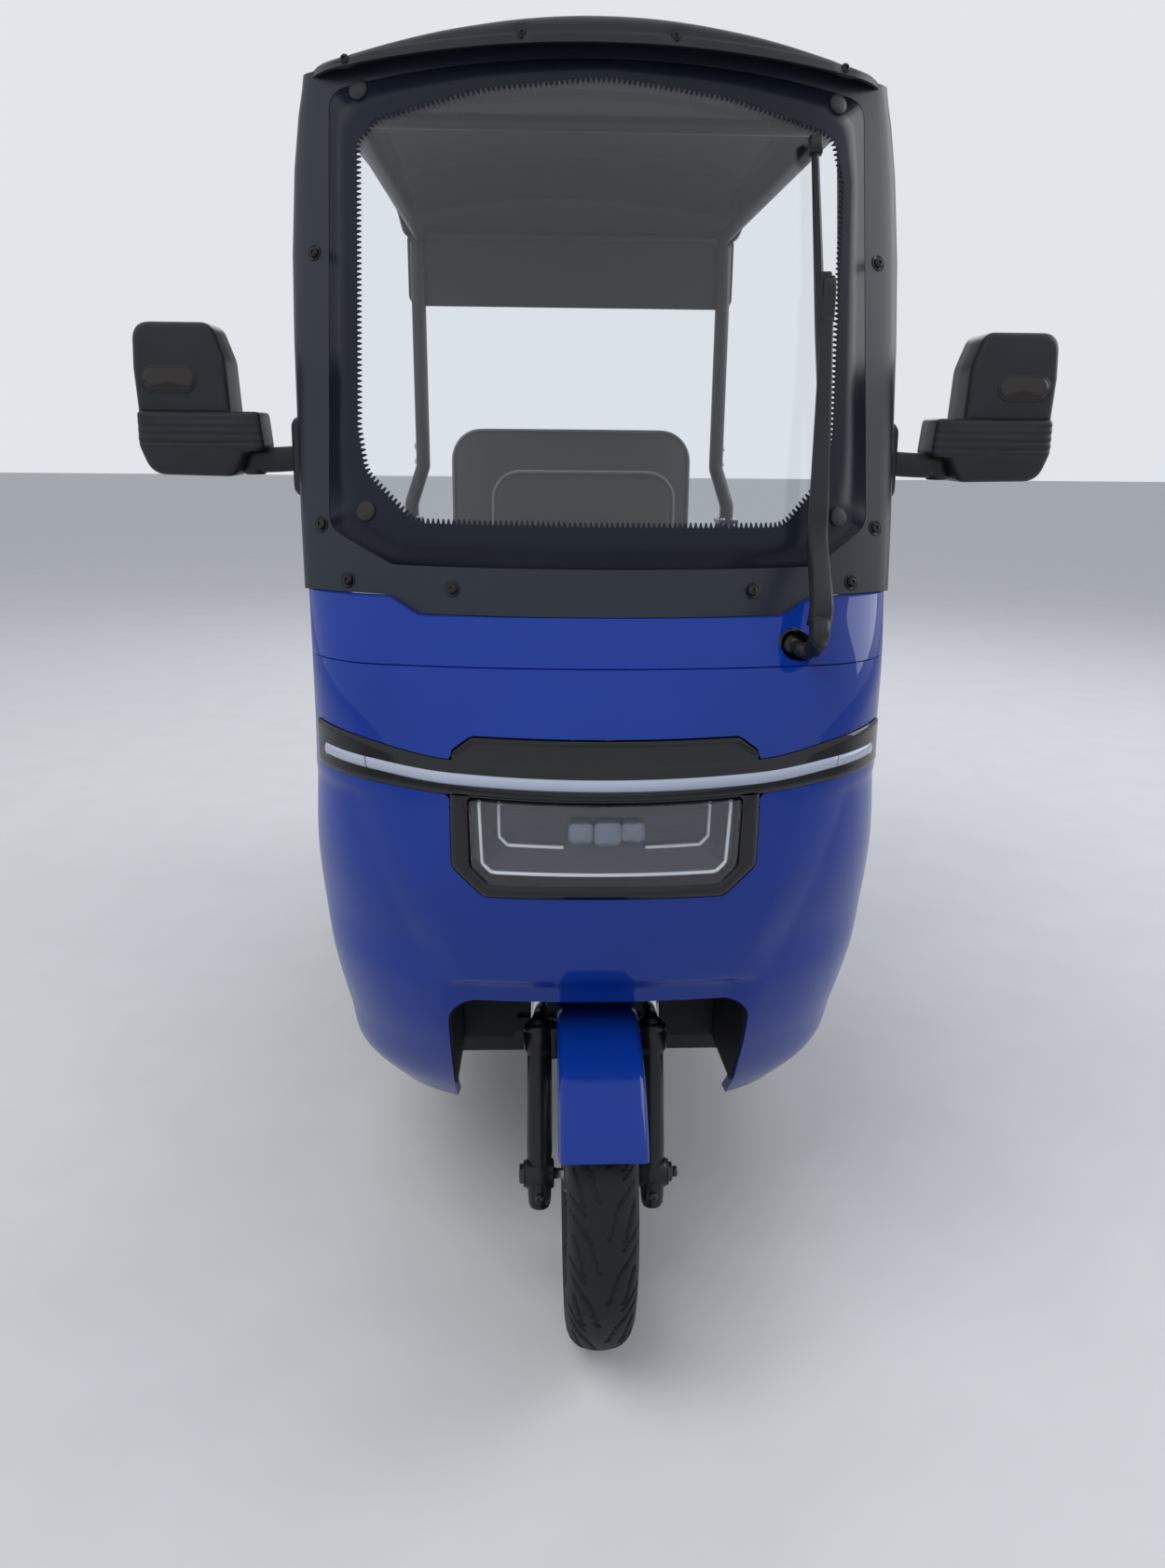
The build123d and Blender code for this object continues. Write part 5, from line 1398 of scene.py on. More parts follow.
def wheelRim(name, x, y, body, node, brake, out):
    # barrel, hub and spokes; out is the side that looks away from the car, where the spokes bend by dish t^2
    q = rimShape
    alloyPart, zincBolt = (body, "wheel_alloy", alloy), (body, "axle_steel", zinc)
    barrel = [(-29, 128), (-29, 133.2), (-25.4, 133.2), (-24.6, 126), (-16, 120), (-10, 116), (10, 116), (16, 120),
              (24.6, 126), (25.4, 133.2), (29, 133.2), (29, 128), (26, 119), (16, 113), (-16, 113), (-26, 119),
              (-29, 128)]
    centre = (x, y, 210)
    pieces = [turned(name, barrel, centre, (1, 0, 0), alloyPart, 72)]
    hub = [(-42, 8), (-42, 22), (-36, 26), (-20, 30), (20, 30), (36, 26), (42, 22), (42, 8)]
    pieces.append(turned("hub", hub, centre, (1, 0, 0), alloyPart, 48))
    profile = roundCorners([(-1, -1), (1, -1), (1, 1), (-1, 1)], 0.55, 5)
    for k in range(q["spokes"]):
        turn = 2 * math.pi * k / q["spokes"]
        r = np.linspace(q["spokeFrom"], q["spokeTo"], 12)
        dish = 14 - q["dish"] * ((r - q["spokeFrom"]) / (q["spokeTo"] - q["spokeFrom"])) ** 2
        path = np.stack([x + out * dish, y + r * math.cos(turn), 210 + r * math.sin(turn)], -1)
        pieces.append(sweptBar("spoke", path, profile * (1.0, q["spokeFlat"]), alloyPart, up=(1, 0, 0),
                               scale=np.interp(r, *q["spokeHalf"])))
    joined(name, pieces)
    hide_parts(node)
    if brake == "disc":
        turned(name + "Disc", [(40, 44), (40, q["discRadius"]), (44, q["discRadius"]), (44, 44), (40, 44)], centre,
               (1, 0, 0), (body, "axle_steel", discSteel), 64)
        carrier = [turned("discBolt", [(44, 0), (44, 4.5), (47, 4.5), (47, 0)],
                          (x, y + 36 * math.cos(a), 210 + 36 * math.sin(a)), (1, 0, 0), zincBolt, 6)
                   for a in np.linspace(0, 2 * np.pi, q["bolts"], endpoint=False)]
        face = turned("discFace", [(38, 8), (38, 46), (41, 46), (41, 8)], centre, (1, 0, 0),
                      (body, "axle_steel", alloy), 48)
        joined(name + "DiscBolts", carrier + [face])
    else:
        r = q["drumRadius"]
        turned(name + "Drum", [(-34, 20), (-34, r - 4), (-31, r), (-14, r), (-12, r - 4), (-12, 20)], centre,
               (out, 0, 0), (body, "wheel_alloy", satinSteel), 56)
        hexNut(name + "Nut", (x + out * 42, y, 210), (out, 0, 0), 13, 9, zincBolt)
    turned(name + "Valve", [(0, 0), (0, 3.2), (16, 3.2), (16, 4.2), (23, 4.2), (24, 3), (24, 0)],
           (x + out * 14, y, 210 + 116), (out * 0.5, 0, -0.8), (body, "rubber", plainRubber), 14)


wheelRim("frontWheelRim", 0, -840, "front_wheel", "front_rim", "disc", -1)
wheelRim("rearWheelRimLeft", 310, 700, "rear_wheel_left", "rear_rim_left", "drum", 1)
wheelRim("rearWheelRimRight", -310, 700, "rear_wheel_right", "rear_rim_right", "drum", -1)

# brake caliper on the left leg, over the disc
domedPad("brakeCaliper", roundedRectangle(26, 70, 10, 5), (52, 0, 262), -800, -760, 4, forkPart)
print("wheels")

# handlebar

handlebarShape = {"stemTop": 808.0, "radius": 11.0, "back": 62.0, "rise": 8.0, "half": 300.0, "pod": (62, 40, 21),
                  "gripFrom": 186.0, "gripTo": 303.0, "gripRibs": 16}


def softBox(name, centre, half, power, look, columns=40, rows=24):
    # superellipsoid: x = a |cos u|^p |cos v|^p, y = b |sin u|^p |cos v|^p, z = c |sin v|^p with the signs kept
    u = np.linspace(0, 2 * np.pi, columns, endpoint=False)[:, None]
    v = np.linspace(-np.pi / 2, np.pi / 2, rows)[None, :]

    def signed(value):
        return np.sign(value) * np.abs(value) ** power
    flat = signed(np.cos(v))
    points = np.stack([half[0] * signed(np.cos(u)) * flat, half[1] * signed(np.sin(u)) * flat,
                       half[2] * signed(np.sin(v)) * np.ones_like(u)], -1) + np.asarray(centre, float)
    return closedMesh(name, points, gridFaces(columns, rows, closed=True), look)


barCentre = forkPoint(0, forkShape["offset"], handlebarShape["stemTop"])
endY, endZ = barCentre[1] + handlebarShape["back"], barCentre[2] + handlebarShape["rise"]
halfBar = [(70, barCentre[1], barCentre[2]), (145, endY - 18, endZ), (handlebarShape["half"], endY, endZ)]
barLine = [(-x, y, z) for x, y, z in reversed(halfBar)] + halfBar
handlebarTube = sweptBar("handlebarTube", resample(roundCorners(barLine, [0, 30, 30, 30, 30, 0]), 80),
                         circle(handlebarShape["radius"], 24), barPart)
stemCover = turned("steeringStem", [(640, 0), (640, 20), (700, 21), (790, 24), (806, 22), (806, 0)],
                   forkPoint(0, forkShape["offset"], 0), rakeAxis, barPart, 36)
joined("handlebarTube", [handlebarTube, stemCover])
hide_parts("handlebar")
softBox("instrumentPod", (0, barCentre[1] + 2, barCentre[2] - 2), handlebarShape["pod"], 0.42, podPart)
screenLine = np.array([(0, barCentre[1] + 2, barCentre[2] + rise) for rise in (17.5, 20.2)])
sweptBar("instrumentScreen", screenLine, roundedRectangle(92, 52, 9, 5), ("steering", "gloss_black", glossBlack),
         up=(0, 1, 0))
grips, levers = [], []
for side in (-1, 1):
    start = np.array([side * handlebarShape["gripFrom"], endY - 13.2, endZ])
    gripEnd = np.array([side * handlebarShape["gripTo"], endY + 0.3, endZ])
    length = np.linalg.norm(gripEnd - start)
    ribs = [(0, 0), (0, 19.5), (3, 19.5), (4.5, 15.2)]
    for k in range(handlebarShape["gripRibs"]):
        at = 8 + k * (length - 18) / handlebarShape["gripRibs"]
        ribs += [(at, 15.4), (at + 2.2, 16.5), (at + 4.4, 16.5), (at + 6.2, 15.4)]
    ribs += [(length - 4, 17.8), (length, 16.5), (length, 0)]
    grips.append(turned("grip", ribs, start, gripEnd - start, ("steering", "rubber", plainRubber), 30))
    lever = smoothPath([(side * 150, endY - 26, endZ - 2), (side * 172, endY - 52, endZ - 4), (side * 215, endY - 66,
                        endZ - 6), (side * 292, endY - 60, endZ - 6)], 34)
    levers.append(sweptBar("lever", lever, roundedRectangle(9, 14, 3.5, 4), ("steering", "frame_steel", zinc),
                           scale=np.interp(np.linspace(0, 1, 34), [0, 0.8, 0.95, 1], [1.1, 0.8, 0.95, 0.5])))
    levers.append(softBox("switchBlock", (side * 156, endY - 17, endZ), (20, 19, 18), 0.4, podPart, 28, 16))
joined("handlebarGrips", grips)
joined("handlebarLevers", [levers[0], levers[2]])
joined("handlebarSwitches", [levers[1], levers[3]])
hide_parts("handlebar_grips")

crownPath = np.array([forkPoint(0, 0, 392), forkPoint(0, 0, 422)])
crownRound = roundCorners([(-100, -21), (100, -21), (88, 12), (20, 50), (-20, 50), (-88, 12)],
                          [16, 16, 22, 26, 26, 22], 7)
crown = sweptBar("forkCrown", crownPath, crownRound, forkPart, up=tuple(rakeAcross))
steerer = turned("forkSteerer", [(392, 0), (392, 15), (670, 15), (670, 0)], forkPoint(0, 30, 0), rakeAxis, forkPart,
                 28)
joined("forkCrown", [crown, steerer])
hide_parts("fork_tubes")
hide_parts("front_axle")
turned("frontAxleBar", [(-92, 0), (-92, 7), (92, 7), (92, 0)], (0, -840, 210), (1, 0, 0), ("steering", "axle_steel",
       zinc), 24)
print("handlebar")

# padded seats: a slab of two seam lines, blown up like stuffed leather between them

# voxel and cap in metres, start: how far the slab stays inside the space in mm
seatShape = {"voxel": 0.0072, "frames": 20, "cap": 0.026, "start": 13.0,
             "cloth": {"use_pressure": True, "uniform_pressure_force": 4.0, "quality": 6, "tension_stiffness": 12,
                       "compression_stiffness": 12, "bending_stiffness": 1.5, "vertex_group_mass": "seams"}}


def slab(a, b, c, radius, crown):
    # closed rings: outline k, thickness profile with rounded edges; (a, b, c) are half sizes
    outline = resample(roundedRectangle(2 * a, 2 * b, radius, 9), 160, closed=True)
    ks = np.array([0, 0.3, 0.6, 0.85, 0.96, 1.0, 1.0, 1.0, 0.96, 0.85, 0.6, 0.3, 0])
    up = np.array([c + crown, c + crown * 0.9, c + crown * 0.6, c, c - 3, c - 10, 0, -c + 10, -c + 2, -c, -c, -c, -c])
    return shrunkRings(outline, (0, 0), ks, up, (0, 1))


def paddedSeat(name, node, body, radius, upright, crown=6.0):
    # local a, b, c: across, along, thick; a cushion's top is +c, a back's front is +c
    low, high = (np.array(v) * 1000 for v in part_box(node))
    centre, half = (low + high) / 2, (high - low) / 2
    size = (half[0], half[2], half[1]) if upright else (half[0], half[1], half[2])
    inset = seatShape["start"]
    a, b, c = size[0] - inset * 0.6, size[1] - inset * 0.6, size[2] - inset

    def toWorld(p):
        p = np.asarray(p, float)
        return centre + (np.stack([p[..., 0], -p[..., 2], p[..., 1]], -1) if upright else p)

    def toLocal(p):
        p = p * 1000 - centre
        return np.stack([p[:, 0], p[:, 2], -p[:, 1]], -1) if upright else p

    points = slab(a, b, c, radius, crown)
    piece = closedMesh(name, toWorld(points).reshape(-1, 3), gridFaces(160, points.shape[1], closed=True),
                       (body, "seat_leather", leather))
    piece.parent = None
    remesh = piece.modifiers.new("remesh", "REMESH")
    remesh.mode, remesh.voxel_size, remesh.use_smooth_shade = "VOXEL", seatShape["voxel"], True
    graph = bpy.context.evaluated_depsgraph_get()
    data = bpy.data.meshes.new_from_object(piece.evaluated_get(graph))
    piece.modifiers.clear()
    old, piece.data = piece.data, data
    bpy.data.meshes.remove(old)
    piece.data.name = name
    count = len(data.vertices)
    rest = np.zeros(count * 3)
    data.vertices.foreach_get("co", rest)
    rest = rest.reshape(-1, 3)
    local = toLocal(rest)
    edge = roundBox(local[:, 0], local[:, 1], -a, a, -b, b, radius)
    seamAt = c - 7
    onSeam = (edge < 7) & ((np.abs(local[:, 2] - seamAt) < 4) | (np.abs(local[:, 2] + seamAt) < 4))
    group = piece.vertex_groups.new(name="seams")
    group.add(np.nonzero(onSeam)[0].tolist(), 1.0, "REPLACE")
    cloth = piece.modifiers.new("cloth", "CLOTH")
    cloth.settings.effector_weights.gravity = 0
    for key, value in seatShape["cloth"].items():
        setattr(cloth.settings, key, value)
    cloth.point_cache.frame_start, cloth.point_cache.frame_end = 1, seatShape["frames"]
    for frameNumber in range(1, seatShape["frames"] + 1):
        bpy.context.scene.frame_set(frameNumber)
    graph = bpy.context.evaluated_depsgraph_get()
    moved = piece.evaluated_get(graph).to_mesh()
    now = np.zeros(count * 3)
    moved.vertices.foreach_get("co", now)
    now = now.reshape(-1, 3)
    piece.modifiers.clear()
    piece.vertex_groups.clear()
    bpy.context.scene.frame_set(1)
    move = now - rest
    far = np.linalg.norm(move, axis=1)[:, None]
    now = rest + move * np.minimum(1, seatShape["cap"] / np.maximum(far, 1e-9))
    print(name, "vertices", count, "moved mm", round(float(far.mean() * 1000), 1), round(float(far.max() * 1000),
          1))
    local = toLocal(now)
    # flat where it rests, and inside the space it has
    limit = np.array(size) - 1.0
    local[:, :2] = np.clip(local[:, :2], -limit[:2], limit[:2])
    local[:, 2] = np.clip(local[:, 2], -size[2] + 0.4, size[2] + 2.5)
    sunk = np.minimum(local[:, 2], -c + 1.5) - (inset - 1.9) * smooth(edge / 14)
    local[:, 2] = np.where(local[:, 2] < -c + 1.5, sunk, local[:, 2])
    local[:, 2] = np.clip(local[:, 2], -size[2] + 0.4, size[2] + 2.5)
    data.vertices.foreach_set("co", (toWorld(local) * 0.001).ravel())
    data.update()
    data.polygons.foreach_set("use_smooth", np.full(len(data.polygons), True))
    piece.data.materials.clear()
    piece.data.materials.append(leather)
    finer = piece.modifiers.new("finer", "SUBSURF")
    finer.levels = finer.render_levels = 1
    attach(piece, body)
    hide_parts(node)
    # piping along both seams
    ring = resample(roundedRectangle(2 * a, 2 * b, radius, 9), 150, closed=True) * 0.984
    ring += 1.4 * ring / np.linalg.norm(ring, axis=1)[:, None]
    cords = []
    for height in (seamAt + 1, -seamAt - 1):
        path = toWorld(np.column_stack([ring, np.full(len(ring), height)]))
        cords.append(sweptBar("piping", path, circle(3.0, 10), (body, "seat_leather", pipingCloth),
                              up=(0, 1, 0) if upright else (0, 0, 1), closed=True))
    joined(name + "Piping", cords)


paddedSeat("driverSeatCushion", "driver_seat_cushion", "driver_seat", 50, False)
paddedSeat("driverSeatBack", "driver_seat_back", "driver_seat", 48, True)
paddedSeat("rearSeatCushion", "rear_seat_cushion", "chassis", 50, False)
paddedSeat("rearSeatBack", "rear_seat_back", "chassis", 62, True)
print("seats")

# rear body: plan path round the back, trimmed to its side profile and its wheel arches

rearShape = {"half": 372.0, "front": 120.0, "rear": 1010.0, "corner": 70.0, "swageZ": 612.0, "swage": 5.0,
             "flange": 24.0, "profile": [(120, 600), (430, 944), (590, 944), (700, 762), (1010, 700), (1120, 700),
             (1120, 450), (1010, 450), (960, 300), (120, 300)], "radii": [20, 60, 60, 60, 20, 0, 0, 0, 30, 12],
             "archRadius": 246.0}
rearProfile = roundCorners(rearShape["profile"], rearShape["radii"], 9)
rearPlan = resample(roundCorners([(372, 120), (372, 1010), (-372, 1010), (-372, 120)],
                                 [0, rearShape["corner"] * 1.3, rearShape["corner"] * 1.3, 0], 15), 700)
rearLength = np.concatenate([[0], np.cumsum(np.linalg.norm(np.diff(rearPlan, axis=0), axis=1))])


def rearPanel(u, z):
    # plan point at length u, drawn in a little above the swage line and towards the top
    x, y = np.interp(u, rearLength, rearPlan[:, 0]), np.interp(u, rearLength, rearPlan[:, 1])
    inwards = rearShape["swage"] * smooth((z - rearShape["swageZ"]) / 9) + 8 * smooth((z - 620) / 330) ** 1.5
    scaleX = 1 - inwards / 372
    pull = inwards * smooth((y - 900) / 110)
    return np.stack([x * scaleX, y - pull, z], -1)


def inRear(p):
    # distance inside the side profile and outside the wheel arch, a circle round the axle
    arch = np.where(np.abs(p[..., 0]) > 300, np.hypot(p[..., 1] - 700, p[..., 2] - 210) - rearShape["archRadius"],
                    1e3)
    return np.minimum(polygonDepth(p[..., 1], p[..., 2], rearProfile), np.minimum(arch, 400))


rearBody = trimmedSheet("rearBody", rearPanel, np.linspace(0, rearLength[-1], 204), np.arange(298, 950, 10.8), inRear,
                        blueBody, (0, 600, 620))


def inwardTop(distance, down=0.0):
    # shift for turnIn: towards the middle on the sides, forwards at the back
    def shift(co):
        back = smooth((co[:, 1] - 960) / 40)
        return np.stack([-np.sign(co[:, 0]) * distance * (1 - back), -distance * back, np.full(len(co), -down)], -1)
    return shift


def topEdge(co):
    # points on the profile's edge above the floor
    return (np.abs(polygonDepth(co[:, 1], co[:, 2], rearProfile)) < 2.5) & (co[:, 2] > 585)


def archEdge(co):
    # points on the wheel arch
    return (np.abs(np.hypot(co[:, 1] - 700, co[:, 2] - 210) - rearShape["archRadius"]) < 2.5) & (co[:, 2] < 460)


turnIn(rearBody, topEdge, inwardTop(rearShape["flange"]), 3)
turnIn(rearBody, archEdge, inwardTop(16), 2)
turnIn(rearBody, lambda co: (co[:, 1] < 122) & (np.abs(co[:, 0]) > 355), inwardTop(12), 1)
wall(rearBody, 2.8, 1.2)
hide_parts("rear_body")

# sills: a rounded skirt along the floor whose front end is cut away below
sillShape = {"half": 342.0, "inner": 306.0, "low": 236.0, "high": 295.6, "front": -519.0, "rear": 118.0, "cut": 95.0}
sills = []
for side in (-1, 1):
    q = sillShape
    section = resample(roundCorners([(q["half"] - 22, q["low"]), (q["half"], q["low"]), (q["half"], q["high"]),
                                     (q["inner"], q["high"])], [0, 9, 12, 0], 7), 30)
    ys = np.linspace(q["front"], q["rear"], 40)
    points = np.zeros((len(ys), len(section), 3))
    points[..., 0] = side * section[:, 0]
    points[..., 1] = ys[:, None]
    lowest = q["low"] + 46 * smooth((q["front"] + q["cut"] - ys) / q["cut"])
    share = (section[:, 1] - q["low"]) / (q["high"] - q["low"])
    points[..., 2] = lowest[:, None] + share * (q["high"] - lowest)[:, None]
    sills.append(meshObject("sill", points, gridFaces(len(ys), len(section)), blueBody, (0, -200, 200)))
sideSills = joined("sideSills", sills)
wall(sideSills, 2.6, 0.8)
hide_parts("side_sills")

tailShape = {"x": 330, "z": 590, "size": (56, 136, 14), "rim": (66, 146, 18), "y": 1006}
redLook = ("chassis", "tail_red", redPlastic)
lamps, rims = [], []
for side in (-1, 1):
    q = tailShape
    place = (side * q["x"], 0, q["z"])
    lamps.append(domedPad("tailLamp", roundedRectangle(*q["size"], 7), place, q["y"] + 25, q["y"], -4, redLook))
    rims.append(domedPad("tailLampRim", roundedRectangle(*q["rim"], 7), place, q["y"] + 15, q["y"] - 2, -0.5,
                         glossPart))
joined("tailLamps", lamps)
joined("tailLampRims", rims)
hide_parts("tail_lamps")

# a coil: (r cos a, r sin a, rise a / all turns)
springShape = {"x": 200, "y": 700, "low": 246, "rise": 142, "radius": 24, "wire": 4.2, "turns": 7}
springs, dampers = [], []
for side in (-1, 1):
    q = springShape
    turn = np.linspace(0, q["turns"] * 2 * np.pi, 260)
    coil = np.stack([side * q["x"] + q["radius"] * np.cos(turn), q["y"] + q["radius"] * np.sin(turn),
                     q["low"] + q["rise"] * turn / turn[-1]], -1)
    springs.append(sweptBar("spring", coil, circle(q["wire"], 10), ("chassis", "frame_steel", forkBlack)))
    damper = [(236, 0), (236, 24), (243, 27), (246, 27), (246, 14), (330, 14), (331, 8), (386, 8), (386, 27),
              (392, 27), (399, 20), (399, 0)]
    dampers.append(turned("damper", damper, (side * q["x"], q["y"], 0), (0, 0, 1), steelPart, 36))
joined("rearSprings", springs)
joined("rearDampers", dampers)
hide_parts("rear_shocks")
print("rear body")

# ribbed mat on the floor, and the rubber strip between the floor and the bench

matShape = {"half": 318.0, "front": -560.0, "rear": 112.0, "box": (-162.0, 186.0, -352.0, 70.0), "top": 295.0,
            "ribPitch": 16.0, "ribHigh": 2.2}


def matSurface(x, y):
    # ribs across the car: z = top + high |cos(pi y / pitch)|^6, flat along the border
    m = matShape
    border = smooth((roundBox(x, y, -m["half"], m["half"], m["front"], m["rear"], 30) - 14) / 4)
    return np.stack([x, y, m["top"] + m["ribHigh"] * border * np.abs(np.cos(np.pi * y / m["ribPitch"])) ** 6], -1)


def onMat(p):
    # distance inside the mat, and outside the seat box
    m = matShape
    left, right, low, high = m["box"]
    return np.minimum(roundBox(p[..., 0], p[..., 1], -m["half"], m["half"], m["front"], m["rear"], 30),
                      -roundBox(p[..., 0], p[..., 1], left, right, low, high, 10))


floorMat = trimmedSheet("floorMat", matSurface, np.linspace(-319, 319, 28), np.arange(-564, 118, 4.0), onMat,
                        rubberPart, (0, 0, 0))
wall(floorMat, 2.4, 0.5)
sweptBar("floorStrip", np.array([(-262, 134.8, 287), (0, 134.8, 287), (262, 134.8, 287)]), roundedRectangle(29.4, 7,
         2.5, 4), rubberPart)

# moulded covers between the nose's rear edge and the legshield

coverShape = {"inset": 3.4, "front": -614.0, "radius": 16.0, "over": 286.0, "stand": 4.2, "low": 302.0, "high": 926.0,
              "topZ": 908.0, "topY": -486.0, "topSlope": 0.0796}


def sideCover(side):
    # plan at each height: t 0..1 straight back inside the nose's skin, 1..2 a quarter circle, 2..3 inwards over
    # the legshield's rear face, which leans back from y = -548 at z = 300 to y = -486 at z = 880
    def surface(t, z):
        c = coverShape
        half = noseValues(z)[:, 0] - c["inset"]
        back = -548 + np.clip((z - 300) / 580, 0, 1) * 62 + c["stand"]
        run, turn, flange = np.clip(t, 0, 1), np.clip(t - 1, 0, 1) * np.pi / 2, np.clip(t - 2, 0, 1)
        x = half - c["radius"] * (1 - np.cos(turn)) - flange * (half - c["radius"] - c["over"])
        y = c["front"] + run * (back - c["radius"] - c["front"]) + c["radius"] * np.sin(turn)
        return np.stack([side * x, y, z], -1)

    def keep(p):
        # distance below the legshield's sloping top
        c = coverShape
        return c["topZ"] + c["topSlope"] * (c["topY"] - p[..., 1]) - p[..., 2]

    columns = np.concatenate([np.linspace(0, 1, 8), np.linspace(1, 2, 7)[1:], np.linspace(2, 3, 5)[1:]])
    piece = trimmedSheet("cover", surface, columns, np.linspace(coverShape["low"], coverShape["high"], 40), keep,
                         ("chassis", "black_moulding", linerPlastic), (side * 260, -700, 600))

    def flange(co):
        # the top turns inwards, up to 20 mm on the outer side
        inwards = 20 * np.clip((side * co[:, 0] - 280) / 60, 0, 1)
        return np.stack([-side * inwards, 0 * inwards, 0 * inwards], -1)

    return turnIn(piece, lambda co: np.abs(keep(co)) < 1.5, flange, 2)


legCovers = joined("legshieldCovers", [sideCover(-1), sideCover(1)])
wall(legCovers, 2.2, 0.8)
print("legshield covers")


# bolts on the cabin tubes, sills and deck

boltShape = {"postZ": (1104, 1072), "deckX": (-200, 200), "deckY": (660, 900), "sillY": (-440, -300, -160, -20, 90),
             "sillZ": 272}
smallBolts = []
for side in (-1, 1):
    for z in boltShape["postZ"]:
        smallBolts.append(boltHead("postBolt", (side * 337, 532, z), (side, 0, 0), 7, zincPart, 5))
for x in boltShape["deckX"]:
    for y in boltShape["deckY"]:
        smallBolts.append(turned("deckEyelet", [(-1, 5), (-1, 9), (1.2, 9), (1.2, 5), (-1, 5)], (x, y, 648),
                          (0, 0, 1), ("chassis", "axle_steel", zinc), 24))
for side in (-1, 1):
    for dx, dy in ((-12, -24), (12, -24), (-12, 24), (12, 24)):
        smallBolts.append(boltHead("footBolt", (side * 352 + dx * 0.9, 532 + dy, 952), (0, 0, 1), 5, zincPart, 4))
for side in (-1, 1):
    for y in boltShape["sillY"]:
        smallBolts.append(boltHead("sillBolt", (side * 342.2, y, boltShape["sillZ"]), (side, 0, 0), 5, zincPart, 3))
joined("smallBolts", smallBolts)

# finishes of the CAD nodes that are shown as they are

carried = {
    "main_frame": satinSteel, "cabin_frame": satinSteel, "rear_posts": satinSteel, "floor_pan": linerPlastic,
    "inner_legshield": linerPlastic, "wheel_arch_liner": linerPlastic,
    "rear_drop_panel": roofPlastic, "driver_seat_box": linerPlastic, "driver_seat_lid": satinSteel,
    "rear_bench_base": linerPlastic, "battery_pack": batteryPlastic, "rear_deck": linerPlastic,
    "rear_bumper": satinSteel, "rear_axle": satinSteel,
}
for node, material in carried.items():
    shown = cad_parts[node]
    shown.data.materials.clear()
    shown.data.materials.append(material)
    for slotItem in shown.material_slots:
        slotItem.material = material
notShown = [n for n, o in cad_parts.items() if n not in carried and not o.hide_render]
print("nodes without a finish:", notShown)

# floor, light and camera

stageShape = {"floorHalf": 30.0, "floorColour": (0.56, 0.57, 0.59), "backColour": (0.76, 0.79, 0.83), "fill": 0.62,
              "key": 240.0, "side": 90.0, "rim": 60.0}


def floorSurface():
    # a flat sheet far wider than the view
    h = stageShape["floorHalf"]
    t = np.linspace(-h, h, 9)
    x, y = np.meshgrid(t, t, indexing="ij")
    data = bpy.data.meshes.new("floor")
    data.from_pydata(np.stack([x, y, 0 * x - 0.0005], -1).reshape(-1, 3).tolist(), [], gridFaces(9, 9).tolist())
    piece = bpy.data.objects.new("floor", data)
    bpy.context.scene.collection.objects.link(piece)
    piece.data.materials.append(finish("floorPaint", stageShape["floorColour"], 0.75, grain=(40, 0.01), mottle=0.02))


floorSurface()
world = bpy.data.worlds.new("studio")
bpy.context.scene.world = world
world.use_nodes = True
nodes, links = world.node_tree.nodes, world.node_tree.links
# the backdrop's colour is seen directly, in reflections and through glass; a plain fill lights the object
seen = addNode(nodes, "Background", {"Color": (*stageShape["backColour"], 1), "Strength": 1.0})
lit = addNode(nodes, "Background", {"Color": (0.90, 0.94, 1.0, 1), "Strength": stageShape["fill"]})
rays, either, mixed = addNode(nodes, "LightPath"), addNode(nodes, "Math"), addNode(nodes, "Math")
either.operation = mixed.operation = "MAXIMUM"
links.new(rays.outputs["Is Camera Ray"], either.inputs[0])
links.new(rays.outputs["Is Glossy Ray"], either.inputs[1])
links.new(either.outputs["Value"], mixed.inputs[0])
links.new(rays.outputs["Is Transmission Ray"], mixed.inputs[1])
mix = addNode(nodes, "MixShader")
links.new(mixed.outputs["Value"], mix.inputs["Fac"])
links.new(lit.outputs["Background"], mix.inputs[1])
links.new(seen.outputs["Background"], mix.inputs[2])
links.new(mix.outputs["Shader"], nodes["World Output"].inputs["Surface"])


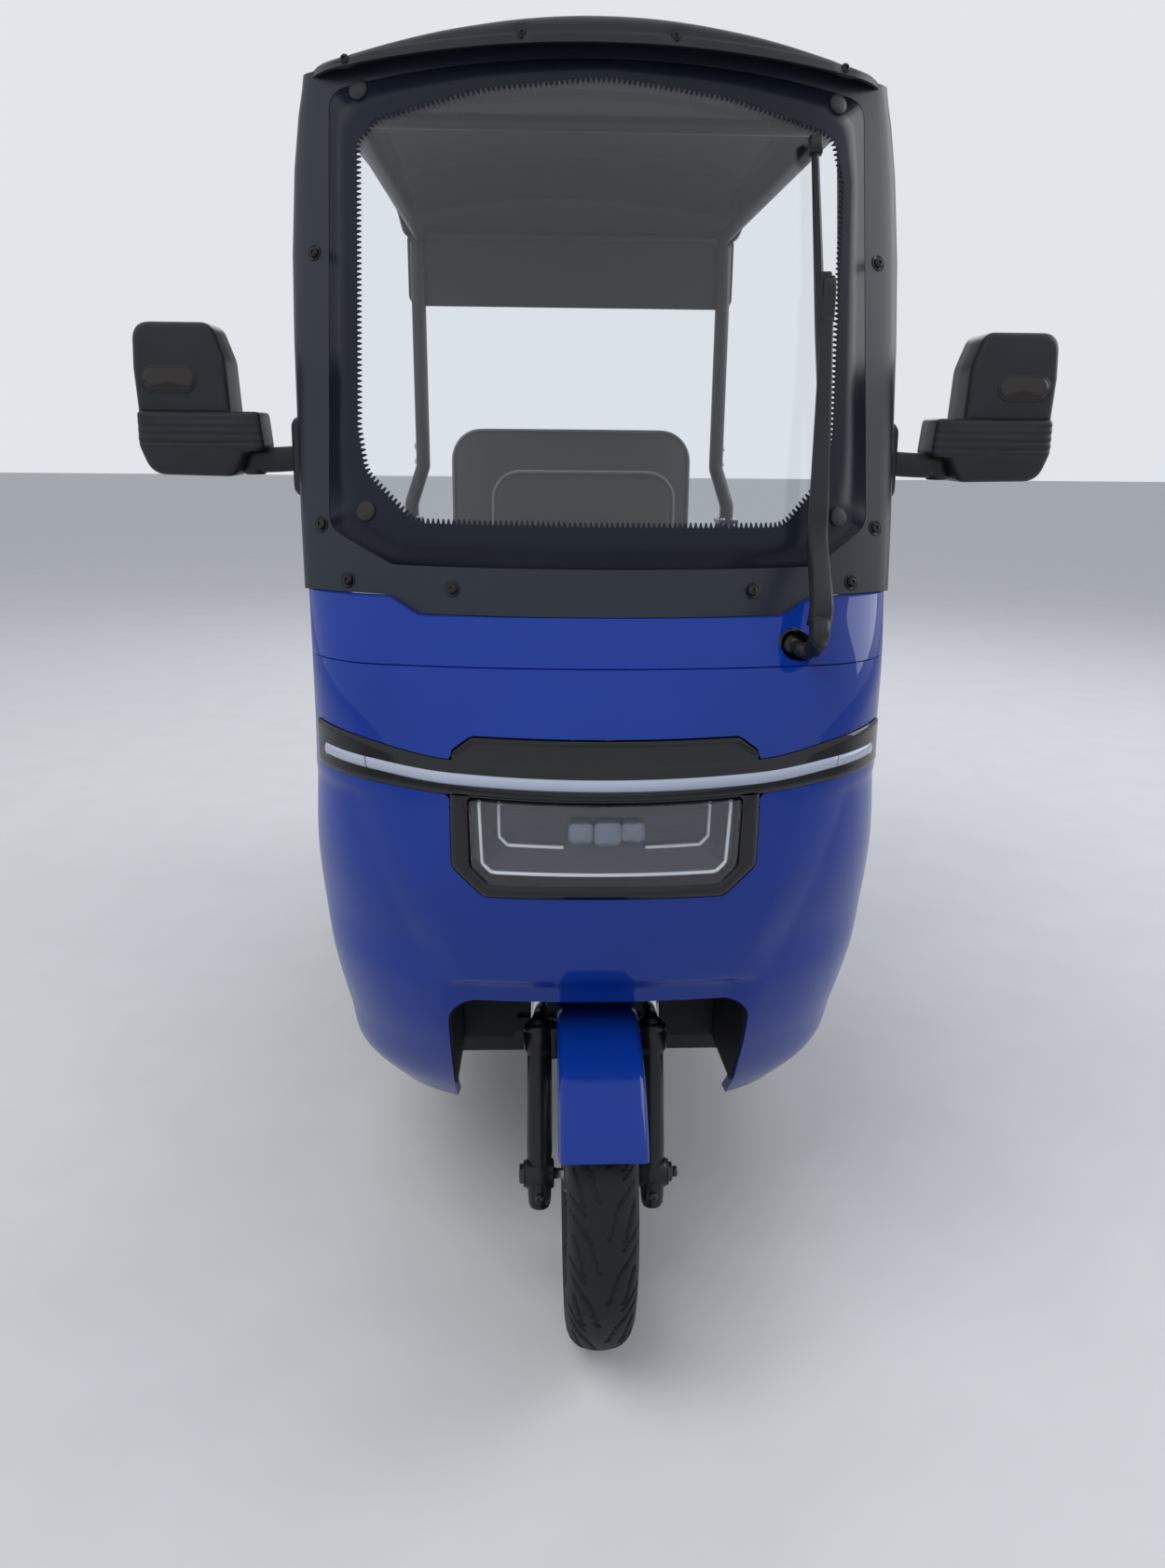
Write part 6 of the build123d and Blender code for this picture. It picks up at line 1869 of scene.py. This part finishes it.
def softLight(name, place, target, width, height, power, colour=(1, 1, 1), glossy=True):
    # a rectangle of light that looks at its target
    data = bpy.data.lights.new(name, "AREA")
    data.shape, data.size, data.size_y = "RECTANGLE", width, height
    data.energy, data.color = power, colour
    light = bpy.data.objects.new(name, data)
    bpy.context.scene.collection.objects.link(light)
    light.location = place
    light.rotation_mode = "QUATERNION"
    light.rotation_quaternion = (Vector(target) - Vector(place)).to_track_quat("-Z", "Y")
    light.visible_glossy = light.visible_transmission = glossy


softLight("keyLight", (-2.6, -3.0, 5.6), (0, -0.4, 0.7), 5.0, 4.0, stageShape["key"], (1.0, 0.98, 0.95),
          glossy=False)
softLight("sideLight", (4.6, 0.4, 3.0), (0, -0.2, 0.8), 3.4, 3.0, stageShape["side"])
softLight("backLight", (0.5, 4.5, 3.6), (0, 0.3, 1.0), 3.0, 2.0, stageShape["rim"])

cameraShape = {"place": (-0.0766, -2.1713, 1.1367), "pitch": 16.59, "roll": 0.55, "yaw": 2.34, "focal": 1266.1,
               "width": 1250, "height": 1682}


def makeCamera():
    # pitch, yaw and roll in degrees, focal length in pixels of the given frame
    c = cameraShape
    pitch, roll, yaw = (math.radians(c[k]) for k in ("pitch", "roll", "yaw"))
    right = Vector((math.cos(yaw), -math.sin(yaw), 0))
    ahead = Vector((math.sin(yaw) * math.cos(pitch), math.cos(yaw) * math.cos(pitch), -math.sin(pitch)))
    up = right.cross(ahead)
    turnedRight = right * math.cos(roll) + up * math.sin(roll)
    turnedUp = up * math.cos(roll) - right * math.sin(roll)
    data = bpy.data.cameras.new("camera")
    data.lens = 36.0 * c["focal"] / c["height"]
    data.clip_start, data.clip_end = 0.05, 200
    camera = bpy.data.objects.new("camera", data)
    bpy.context.scene.collection.objects.link(camera)
    turn = Matrix((turnedRight, turnedUp, -ahead)).transposed()
    camera.matrix_world = Matrix.Translation(c["place"]) @ turn.to_4x4()
    bpy.context.scene.camera = camera


makeCamera()
bpy.context.scene.view_settings.view_transform = "Standard"
print("scene ready")
